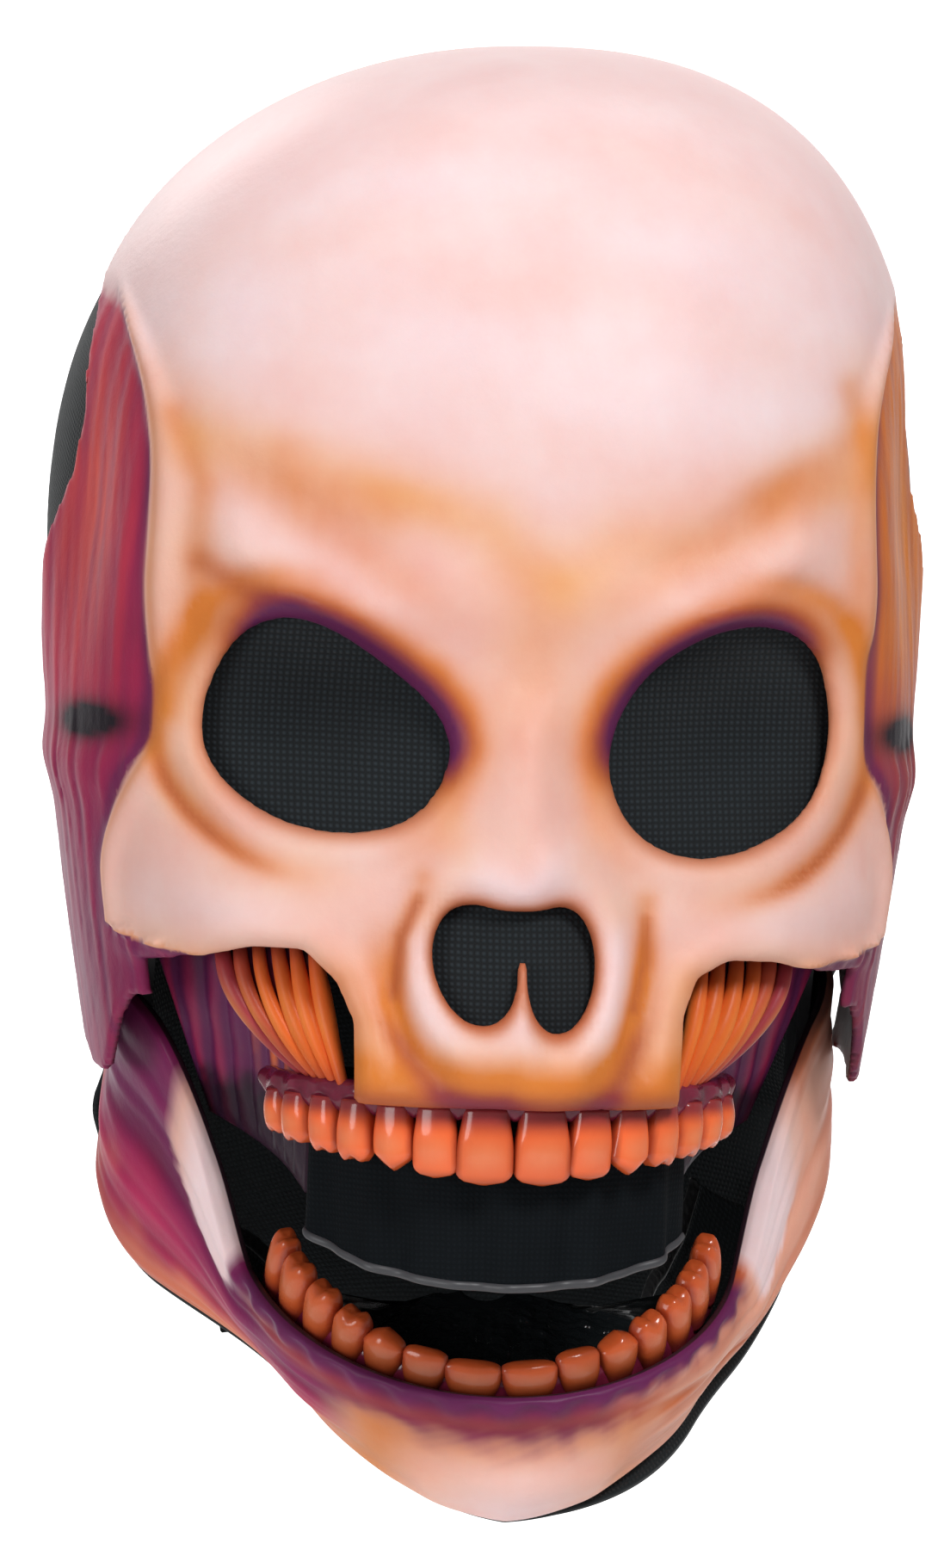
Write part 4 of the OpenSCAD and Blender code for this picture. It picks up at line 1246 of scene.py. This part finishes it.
def cloth_wave(x, y, z):
    """How far the hood's cloth lies off its plain layer: soft folds, fuller towards the hem."""
    p = np.stack(np.broadcast_arrays(x, y, z), -1)
    fullness = 0.35 + 0.65 * smooth(-z, -60, 80)
    lap = y - np.interp(z, [e[1] for e in LATEX_EDGE], [e[0] for e in LATEX_EDGE])
    free = smooth(lap, 3, 26)
    folds = np.sin(x * 0.16 + 1.6 * np.sin(z * 0.035)) + 0.6 * np.sin(x * 0.31 + z * 0.05 + 2)
    creases = noise(p * np.array([1, 1, 0.5]), 26, 51)
    return free * fullness * (0.55 * folds + 0.75 * creases)


HEM_FROM = 138.0


def hood_row(h, side, columns):
    """Angles of one row of a hood half, from its front edge to the seam at the back."""
    f = np.radians(np.linspace(62, 206, 500))
    p = form_ring(f, h, side, -3.4)
    y, x, z = p[:, 1], side * p[:, 0], p[0, 2]
    edge = float(np.interp(z, [e[1] for e in LATEX_EDGE], [e[0] for e in LATEX_EDGE])) - 10.7
    if z < -38:
        edge = max(edge, min(45.3, 8.3 + (-38 - z) * 37 / 46)) + 5 * smooth(-z, 115, 140)
    edge = max(edge, -29)
    if y.max() <= edge + 0.5:
        return None
    start = f[np.argmax(y > edge)]
    stop = f[np.argmax((x < 0.35) & (y > 0))]
    return np.linspace(start, max(start + 0.01, stop), columns)


def form_ring(f, h, side, off):
    """Points of the layer at angles f from the front; h is z up to 30, then 30 plus degrees of dome."""
    t = math.radians(min(84.0, max(0.0, h - WIDEST_Z)))
    e = 2 / POWER
    s = math.cos(t) ** e
    z = h if h <= WIDEST_Z else WIDEST_Z + (CROWN_Z - WIDEST_Z + off) * math.sin(t) ** e
    w, front, rear = form_sizes(min(h, WIDEST_Z))
    d = np.where(np.cos(f) > 0, front, rear)
    sx, sy = np.abs(np.sin(f)) ** e * np.sign(np.sin(f)), -np.abs(np.cos(f)) ** e * np.sign(np.cos(f))
    slack = 1 + 0.17 * smooth(-z, 70, 95) * (1 - smooth(-z, 104, 130))
    x0, y0 = side * w * s * sx * slack, d * s * sy
    o = off + relief(x0, y0, z)
    size = np.hypot(x0, y0)
    grow = 1 + o * s / size
    return np.stack([x0 * grow + crown_lean(z), y0 * grow, z + 0 * x0], -1)


def build_hood():
    """Both halves of the hood."""
    heights = list(np.linspace(-140, 30, 120)) + list(30 + np.linspace(1.2, 84, 74))
    for side, name, node in ((1, "hood_left_half", "hood_left"), (-1, "hood_right_half", "hood_right")):
        outer, inner = [], []
        for h in heights:
            f = hood_row(h, side, 120)
            if f is None:
                break
            a, b = form_ring(f, h, side, -LATEX - 0.25), form_ring(f, h, side, -LATEX - 1.55)
            wave = cloth_wave(a[:, 0], a[:, 1], a[:, 2])
            way = unit(a - b)
            outer.append(a + way * wave[:, None])
            inner.append(b + way * wave[:, None])
        verts, faces = slab(np.array(outer), np.array(inner))
        obj = place(name, verts, faces, HOOD_CLOTH, "skull", [node], "hood_cloth",
                    weave=weave_of(np.array(outer)))


def rear_strip(name, x0, x1, z0, z1, outer, inner, material, node, slot, rounded, body="skull"):
    """Strip on the back of the hood between x0..x1 and z0..z1, its edges rounded off over a distance."""
    x, z = spread(80, 22, (x0, x1), (z0, z1))
    near = np.minimum(np.minimum(x - x0, x1 - x), np.minimum(z - z0, z1 - z))
    thin = np.minimum(1, near / rounded)
    lift = (1 - np.sqrt(np.maximum(0, 1 - (1 - thin) ** 2))) * (outer - inner) * 0.45
    top = rear_layer_offset(x, z, outer - lift)
    verts, faces = slab(top, rear_layer_offset(x, z, inner + lift))
    return place(name, verts, faces, material, body, [node], slot, weave=weave_of(top))


def rear_layer_offset(x, z, off):
    p = rear_point(x, z, off)
    base = rear_point(x, z, -LATEX - 0.25)
    wave = cloth_wave(base[..., 0], base[..., 1], base[..., 2])
    away = np.stack([p[..., 0] * 0.3, p[..., 1], 0 * p[..., 1]], -1)
    return p + unit(away) * wave[..., None]


def build_closure():
    """The tape over the rear seam, the flap over the slit below it, and the hook and loop strips."""
    rear_strip("seam_tape", -6, 6, -0.7, 119, -LATEX + 0.6, -LATEX + 0.02, TAPE, "hood_centre_tape",
               "binding_tape", rounded=1.2)
    for side, name in ((1, "hem_left"), (-1, "hem_right")):
        f = np.radians(np.linspace(HEM_FROM, 179.4, 120))
        rings = []
        for h, off in [(-139.9, 0.05), (-139.5, 0.5), (-135, 0.55), (-131.6, 0.5), (-131.2, 0.05)]:
            p = form_ring(f, h, side, off - LATEX)
            q = form_ring(f, h, side, -LATEX - 0.25)
            wave = cloth_wave(q[:, 0], q[:, 1], q[:, 2])
            rings.append(p + unit(p * np.array([1, 1, 0])) * wave[:, None])
        rings = np.array(rings)
        verts, faces = slab(rings, rings - unit(rings * np.array([1, 1, 0])) * 0.05)
        place(name, verts, faces, TAPE, "skull", ["hood_hem"] if side > 0 else [], "binding_tape",
              weave=weave_of(rings))
    z0, z1 = -83, -9
    rear_strip("loop_strip", 2.4, 21.6, z0 + 0.4, z1 - 0.4, -LATEX + 0.9, -LATEX + 0.02, LOOP,
               "closure_loop_strip", "hook_loop", rounded=0.6)
    flap = rear_strip("flap_cloth", -12, 22, z0, z1, -LATEX + 4.4, -LATEX + 3, HOOD_CLOTH, "closure_flap",
                      "hood_cloth", body="flap", rounded=0.7)
    rear_strip("hook_strip", 2.4, 21.6, z0 + 0.4, z1 - 0.4, -LATEX + 2.8, -LATEX + 1.35, HOOK,
               "closure_hook_strip", "hook_loop", body="flap", rounded=0.5)


def capsule(centre, way, up, length, radius):
    """Stitch: a short thread lying along way."""
    side = np.cross(way, up)
    verts = []
    for s, r in ((-0.5, 0.25), (-0.38, 0.85), (0, 1.0), (0.38, 0.85), (0.5, 0.25)):
        for t in np.linspace(0, 2 * np.pi, 6, endpoint=False):
            verts.append(centre + way * s * length + radius * r * (math.cos(t) * side + math.sin(t) * up))
    faces = grid_faces(5, 6, wrap_columns=True)
    ends = np.array([[0, 1, 2, 3], [0, 3, 4, 5]])
    return np.array(verts), np.concatenate([faces, ends[:, ::-1], ends + 24])


def stitch_line(points, outward, length=2.3, gap=1.1, radius=0.28, lift=0.12):
    """Row of stitches along a line of points."""
    seg = np.linalg.norm(np.diff(points, axis=0), axis=1)
    run = np.concatenate([[0], np.cumsum(seg)])
    parts = []
    at = gap
    while at + length < run[-1]:
        ends = [np.array([np.interp(at + d, run, points[:, k]) for k in range(3)]) for d in (0, length)]
        mid = (ends[0] + ends[1]) / 2
        up = np.array([np.interp(at, run, outward[:, k]) for k in range(3)])
        way = unit(ends[1] - ends[0])
        up = unit(up - way * (up @ way))
        parts.append(capsule(mid + up * lift, way, up, length, radius))
        at += length + gap
    return parts


def build_stitches():
    """Short threads along the seam tape, the hem and the flap."""
    parts = []
    for x in (-4.6, 4.6):
        z = np.linspace(1, 117, 160)
        p = rear_layer_offset(np.full(160, x), z, -LATEX + 0.6)
        upward = np.stack([0 * z, 0 * z, np.maximum(0, z - WIDEST_Z) * 0.9], -1)
        out = unit(rear_point(np.full(160, x), z, 1.0) * np.array([0.3, 1, 0]) + upward)
        parts += stitch_line(p, out)
    for side in (-1, 1):
        f = np.radians(np.linspace(HEM_FROM + 1, 178.8, 160))
        for h in (-133.0, -137.6):
            p = form_ring(f, h, side, -LATEX + 0.55)
            q = form_ring(f, h, side, -LATEX - 0.25)
            out = unit(p * np.array([1, 1, 0]))
            parts += stitch_line(p + out * cloth_wave(q[:, 0], q[:, 1], q[:, 2])[:, None], out)
    verts, faces = join(parts)
    place("hood_stitches", verts, faces, THREAD, "skull", slot="binding_tape")
    parts = []
    z = np.linspace(-81.5, -10.5, 100)
    x = np.linspace(-10.5, 20.5, 50)
    out = np.array([0.0, 1.0, 0.0])
    for line in ((np.full(100, -10.4), z), (np.full(100, 20.4), z),
                 (x, np.full(50, -81.4)), (x, np.full(50, -10.6))):
        p = rear_layer_offset(*line, -LATEX + 4.4)
        parts += stitch_line(p, np.tile(out, (len(p), 1)))
    verts, faces = join(parts)
    place("flap_stitches", verts, faces, THREAD, "flap", slot="binding_tape")


# ---------------------------------------------------------------- foam, strap and throat cloth


def pillow(outer_at, inner_at):
    """Foam pad between two surfaces, with its inner side rounded off towards the edges."""
    u, v = spread(44, 44, (-1, 1), (-1, 1))
    # Square to rounded square
    c = 1 - 0.10 * (u * u * v * v)
    full = (1 - np.abs(u) ** 5) ** 0.5 * (1 - np.abs(v) ** 5) ** 0.5
    outer, inner = outer_at(u * c, v * c), inner_at(u * c, v * c)
    return slab(outer, mix(outer, inner, np.clip(0.22 + 0.78 * full, 0, 1)[..., None]))


def build_pads():
    """The foam pads at the forehead, the crown, the temples and the hinges."""
    top, deep = -LATEX - 0.25, -LATEX - 8
    def forehead(off):
        return lambda u, v: front_point(41.5 * u, 57 + 12.6 * v, off)
    def crown(off):
        return lambda u, v: top_point(10 + 31 * u, -37 + 28 * v, off)
    def temple(side, off):
        return lambda u, v: side_point(-43 + 13.6 * u, 53 + 20.6 * v, side, off)
    jobs = [("forehead_foam", forehead(top), forehead(deep + 0.1), "forehead_pad"),
            ("crown_foam", crown(top), crown(-LATEX - 8.9), "crown_pad"),
            ("left_temple_foam", temple(1, top), temple(1, -LATEX - 6.9), "left_temple_pad"),
            ("right_temple_foam", temple(-1, top), temple(-1, -LATEX - 6.9), "right_temple_pad")]
    for name, outer, inner, node in jobs:
        verts, faces = pillow(outer, inner)
        place(name, verts, faces, FOAM, "skull", [node], "foam")
    # A round pad at each hinge: a square grid drawn out to a disc
    u, v = spread(30, 30, (-1, 1), (-1, 1))
    y = HINGE_Y + u * np.sqrt(1 - v * v / 2) * 12.8
    z = HINGE_Z + v * np.sqrt(1 - u * u / 2) * 12.8
    for side, name, node in ((1, "left_hinge_foam", "left_hinge_pad"),
                             (-1, "right_hinge_foam", "right_hinge_pad")):
        plate_face = np.stack([np.full(y.shape, side * HINGE_PLATE_X), y, z], -1)
        verts, faces = slab(side_point(y, z, side, top), plate_face)
        place(name, verts, faces, FOAM, "skull", [node], "foam")


def build_chin_cup():
    """Foam cup in the chin: a low curved wall on a thick floor."""
    profile = [(11, -129), (35.8, -129), (36.8, -128), (36.9, -113.4), (36.2, -112.3), (34.6, -112),
               (33.2, -112.3), (32.6, -113.4), (32.2, -121.5), (30.5, -123.7), (28, -124.2), (12, -124.4),
               (11, -125.2)]
    dense = []
    for (r0, z0), (r1, z1) in zip(profile, profile[1:] + profile[:1]):
        steps = max(1, int(math.hypot(r1 - r0, z1 - z0) / 1.4))
        for k in range(steps):
            dense.append((mix(r0, r1, k / steps), mix(z0, z1, k / steps)))
    if len(dense) % 2:
        dense.append(((dense[-1][0] + dense[0][0]) / 2, (dense[-1][1] + dense[0][1]) / 2))
    pr = np.array(dense)
    n, columns = len(pr), 110
    turn = np.radians(np.linspace(-57, 57, columns))
    end = smooth(np.minimum(turn - turn[0], turn[-1] - turn) * 38, 0, 3.5)
    mid = np.array([24.0, -121.0])
    shrink = 0.90 + 0.10 * end
    r = mid[0] + (pr[:, 0][:, None] - mid[0]) * shrink[None]
    z = mid[1] + (pr[:, 1][:, None] - mid[1]) * shrink[None]
    p = np.stack([3 + r * np.sin(turn), -44 - r * np.cos(turn), z], -1)
    verts, faces = p.reshape(-1, 3), tube_faces(n, columns)
    place("chin_foam", open_jaw(verts), faces, FOAM, "jaw", ["chin_cup"], "foam")


def build_strap():
    """The elastic band around the back of the head, level and evenly wide."""
    side = [(81.7, -29), (83.5, -20), (85, -6), (85, 16), (82, 36), (72, 58), (56, 74), (40, 82)]
    corners = np.array(side + [(-x, y) for x, y in side[::-1]], float)
    keep = []
    for k in range(len(corners) - 1):
        for t in np.linspace(0, 1, 14, endpoint=False):
            keep.append(mix(corners[k], corners[k + 1], t))
    keep.append(corners[-1])
    line = np.array(keep)
    # The straight stretches at both ends and at the back stay where they are
    for _ in range(60):
        mean = line.copy()
        mean[1:-1] = (line[:-2] + 2 * line[1:-1] + line[2:]) / 4
        hold = (np.abs(line[:, 0]) < 36) | (line[:, 1] < -14)
        line = np.where(hold[:, None], line, mean)
    way = unit(np.gradient(line, axis=0))
    inward = np.stack([-way[:, 1], way[:, 0]], -1)
    rows = []
    profile = [(0.08, -1), (0.0, -0.9), (0.0, 0.9), (0.08, 1), (1.12, 1), (1.2, 0.9), (1.2, -0.9), (1.12, -1)]
    dense = []
    for (d0, h0), (d1, h1) in zip(profile, profile[1:] + profile[:1]):
        steps = 14 if abs(h1 - h0) > 1 else 1
        dense += [(mix(d0, d1, k / steps), mix(h0, h1, k / steps)) for k in range(steps)]
    for d, h in dense:
        xy = line + inward * d
        rows.append(np.stack([xy[:, 0], xy[:, 1], np.full(len(xy), STRAP_Z + h * STRAP_HALF)], -1))
    p = np.array(rows)
    n, columns = p.shape[:2]
    faces = tube_faces(n, columns)
    run = weave_of(np.repeat(p[:1], 2, axis=0))[:columns, 0]
    weave = np.stack([np.tile(run, n), p[..., 2].ravel()], -1)
    place("elastic_strap", p.reshape(-1, 3), faces, ELASTIC, "skull", ["head_strap"], "elastic", weave=weave)


def throat_point(a, v, drop):
    flange = (1 - smooth(v, 0, 0.16)) * (5.2 * bump(a, 38, 26) - 1.2)
    p = jaw_point(a, 1 + 0 * v, 0.5 + 22 * v - flange)
    border = jaw_outer(a, 1 + 0 * v)
    gather = 0.5 * np.sin(a * 0.9) * smooth(v, 0.2, 0.9)
    z = np.minimum(p[..., 2], border[..., 2]) - 0.8 - drop - 4 * np.sin(np.radians(150 * v)) - gather
    return np.stack([p[..., 0], p[..., 1] + 6 * v, z], -1)


def build_throat():
    """The cloth under the jaw and its elastic edging."""
    a, v = spread(40, 200, (-78, 78), (0, 1))
    top = throat_point(a, v, 0.05)
    verts, faces = slab(top, throat_point(a, v, 1.35))
    obj = place("throat_cloth", open_jaw(verts), faces, HOOD_CLOTH, "jaw", ["throat_panel"], "hood_cloth",
                weave=weave_of(top))
    a, v = spread(9, 420, (-78, 78), (1.02, 1.12))
    puff = 0.35 * np.abs(np.sin(a * 2.2)) - 0.2
    round_off = 0.7 * (1 - np.sqrt(np.maximum(0, 1 - ((v - 1.07) / 0.05) ** 2)))
    top = throat_point(a, v, -0.6 + puff + round_off)
    verts, faces = slab(top, throat_point(a, v, 1.95 - round_off))
    place("throat_edging", open_jaw(verts), faces, ELASTIC, "jaw", ["throat_binding"], "elastic",
          weave=weave_of(top))


# ---------------------------------------------------------------- everything together

SCREEN = knit_cloth("screen_cloth", (0.006, 0.008, 0.010), pitch=0.0012, depth=0.0002, sheen=0.0, shine=0.08)
HEM = simple_material("screen_hem", (0.05, 0.05, 0.055), 0.45)
WEB_LATEX = painted_latex("web_latex", 0.36)
TAPE = knit_cloth("binding_tape", (0.016, 0.018, 0.020), pitch=0.0007, depth=0.0002, sheen=0.2)
LOOP = knit_cloth("loop_pile", (0.02, 0.02, 0.022), pitch=0.0013, depth=0.0008, sheen=0.8)
HOOK = simple_material("hook_nylon", (0.02, 0.02, 0.022), 0.4, grain=1400, grain_depth=0.0006)
ELASTIC = knit_cloth("elastic_rib", (0.014, 0.014, 0.015), pitch=0.0024, depth=0.0006, sheen=0.2)
THREAD = simple_material("thread", (0.05, 0.05, 0.055), 0.6)
FOAM = simple_material("foam", (0.10, 0.10, 0.11), 0.95, grain=700, grain_depth=0.0009, vary=0.25)
GLOSS_BLACK = simple_material("gloss_black", (0.008, 0.010, 0.011), 0.10, grain=160, grain_depth=0.0006)
STEEL = simple_material("steel", (0.62, 0.60, 0.57), 0.28, metallic=1.0, grain=1200, grain_depth=0.00004)
NYLON = simple_material("black_nylon", (0.02, 0.021, 0.023), 0.42, grain=500, grain_depth=0.00012)
WASHER = simple_material("white_plastic", (0.72, 0.72, 0.70), 0.35, grain=500, grain_depth=0.00005, vary=0.03)

build_skull()
build_jaw()
build_teeth("upper_tooth_row", 51.0, -76.5, -93.0, "skull", False, 0.0, "upper_teeth", 1.0, 5)
build_gum("upper_gum", 51.0, -72.5, -78.6, "skull", False, 0.0, "upper_teeth", 61)
# The lower row is dimmed to 0.72 as painted shade
build_teeth("lower_tooth_row", 49.0, -103.0, -94.0, "jaw", True, 3.0, "lower_teeth", 0.72, 9)
build_gum("lower_gum", 49.0, -108.5, -98.5, "jaw", True, 3.0, "lower_teeth", 62)
build_meshes()
build_mouth_screen()
build_webs()
build_strands()
build_mouth_floor()
build_hood()
build_closure()
build_stitches()
build_pads()
build_chin_cup()
build_strap()
build_throat()

for part, finish in (("hinge_plate", NYLON), ("jaw_arm", NYLON), ("strap_tab", NYLON), ("pivot_pin", STEEL),
                     ("pivot_washer", WASHER)):
    for hand in ("left_", "right_"):
        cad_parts[hand + part].data.materials.clear()
        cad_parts[hand + part].data.materials.append(finish)
for part, finish in (("strap_slider", NYLON), ("strap_rivets", STEEL)):
    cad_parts[part].data.materials.clear()
    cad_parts[part].data.materials.append(finish)

# ---------------------------------------------------------------- stage, lights and camera


def area_light(name, place, target, size, power):
    data = bpy.data.lights.new(name, "AREA")
    data.shape = "DISK"
    data.size = size
    data.energy = power
    obj = bpy.data.objects.new(name, data)
    bpy.context.scene.collection.objects.link(obj)
    obj.location = place
    obj.rotation_euler = aim(np.array(target) - np.array(place))


def aim(way, roll=0.0):
    turn = Vector(way).to_track_quat("-Z", "Y").to_matrix().to_4x4()
    return (turn @ Matrix.Rotation(roll, 4, "Z")).to_euler()


def build_stage():
    """White floor and backdrop, the world colour and the lights."""
    pale = simple_material("pale_floor", (0.9, 0.9, 0.9), 0.9, vary=0.0)
    r, h = 500.0, -300.0
    ring = [(r * math.cos(t), r * math.sin(t), h) for t in np.linspace(0, 2 * math.pi, 64, endpoint=False)]
    floor = make_object("floor", ring, [tuple(range(64))], pale, smooth_shade=False)
    white, _, _, shader = new_material("white_backdrop")
    shader.inputs["Base Color"].default_value = (1, 1, 1, 1)
    shader.inputs["Emission Color"].default_value = (1, 1, 1, 1)
    shader.inputs["Emission Strength"].default_value = 1.2
    corners = [(-4000, 8000, -4000), (4000, 8000, -4000), (4000, 8000, 4000), (-4000, 8000, 4000)]
    backdrop = make_object("backdrop", corners, [(0, 1, 2, 3)], white, smooth_shade=False)
    world = bpy.data.worlds.new("studio")
    world.use_nodes = True
    world.node_tree.nodes["Background"].inputs[0].default_value = (1, 1, 1, 1)
    world.node_tree.nodes["Background"].inputs[1].default_value = 0.30
    bpy.context.scene.world = world
    area_light("key", (0.60, -1.35, 1.05), (0, 0, 0.02), 0.55, 20)
    area_light("fill", (-1.35, -1.15, 0.15), (0, 0, -0.01), 0.9, 11)
    area_light("top", (0.1, 0.3, 1.5), (0, 0, 0.05), 0.8, 5)
    area_light("rear", (-0.6, 1.4, 0.8), (0, 0, 0), 0.8, 6)


def build_camera():
    azimuth, elevation, roll = math.radians(-5.5), math.radians(4.75), math.radians(1.5)
    distance, height = 5.0, 0.3285
    look_at = np.array([-0.0058, -0.045, -0.0137])
    away = np.array([math.sin(azimuth) * math.cos(elevation), -math.cos(azimuth) * math.cos(elevation),
                     math.sin(elevation)])
    data = bpy.data.cameras.new("camera")
    camera = bpy.data.objects.new("camera", data)
    bpy.context.scene.collection.objects.link(camera)
    camera.location = look_at + distance * away
    camera.rotation_euler = aim(-away, roll)
    data.sensor_fit = "VERTICAL"
    data.sensor_height = 24
    data.lens = 24 * distance / height
    data.clip_end = 50
    bpy.context.scene.camera = camera
    bpy.context.scene.view_settings.view_transform = "Standard"


build_stage()
build_camera()
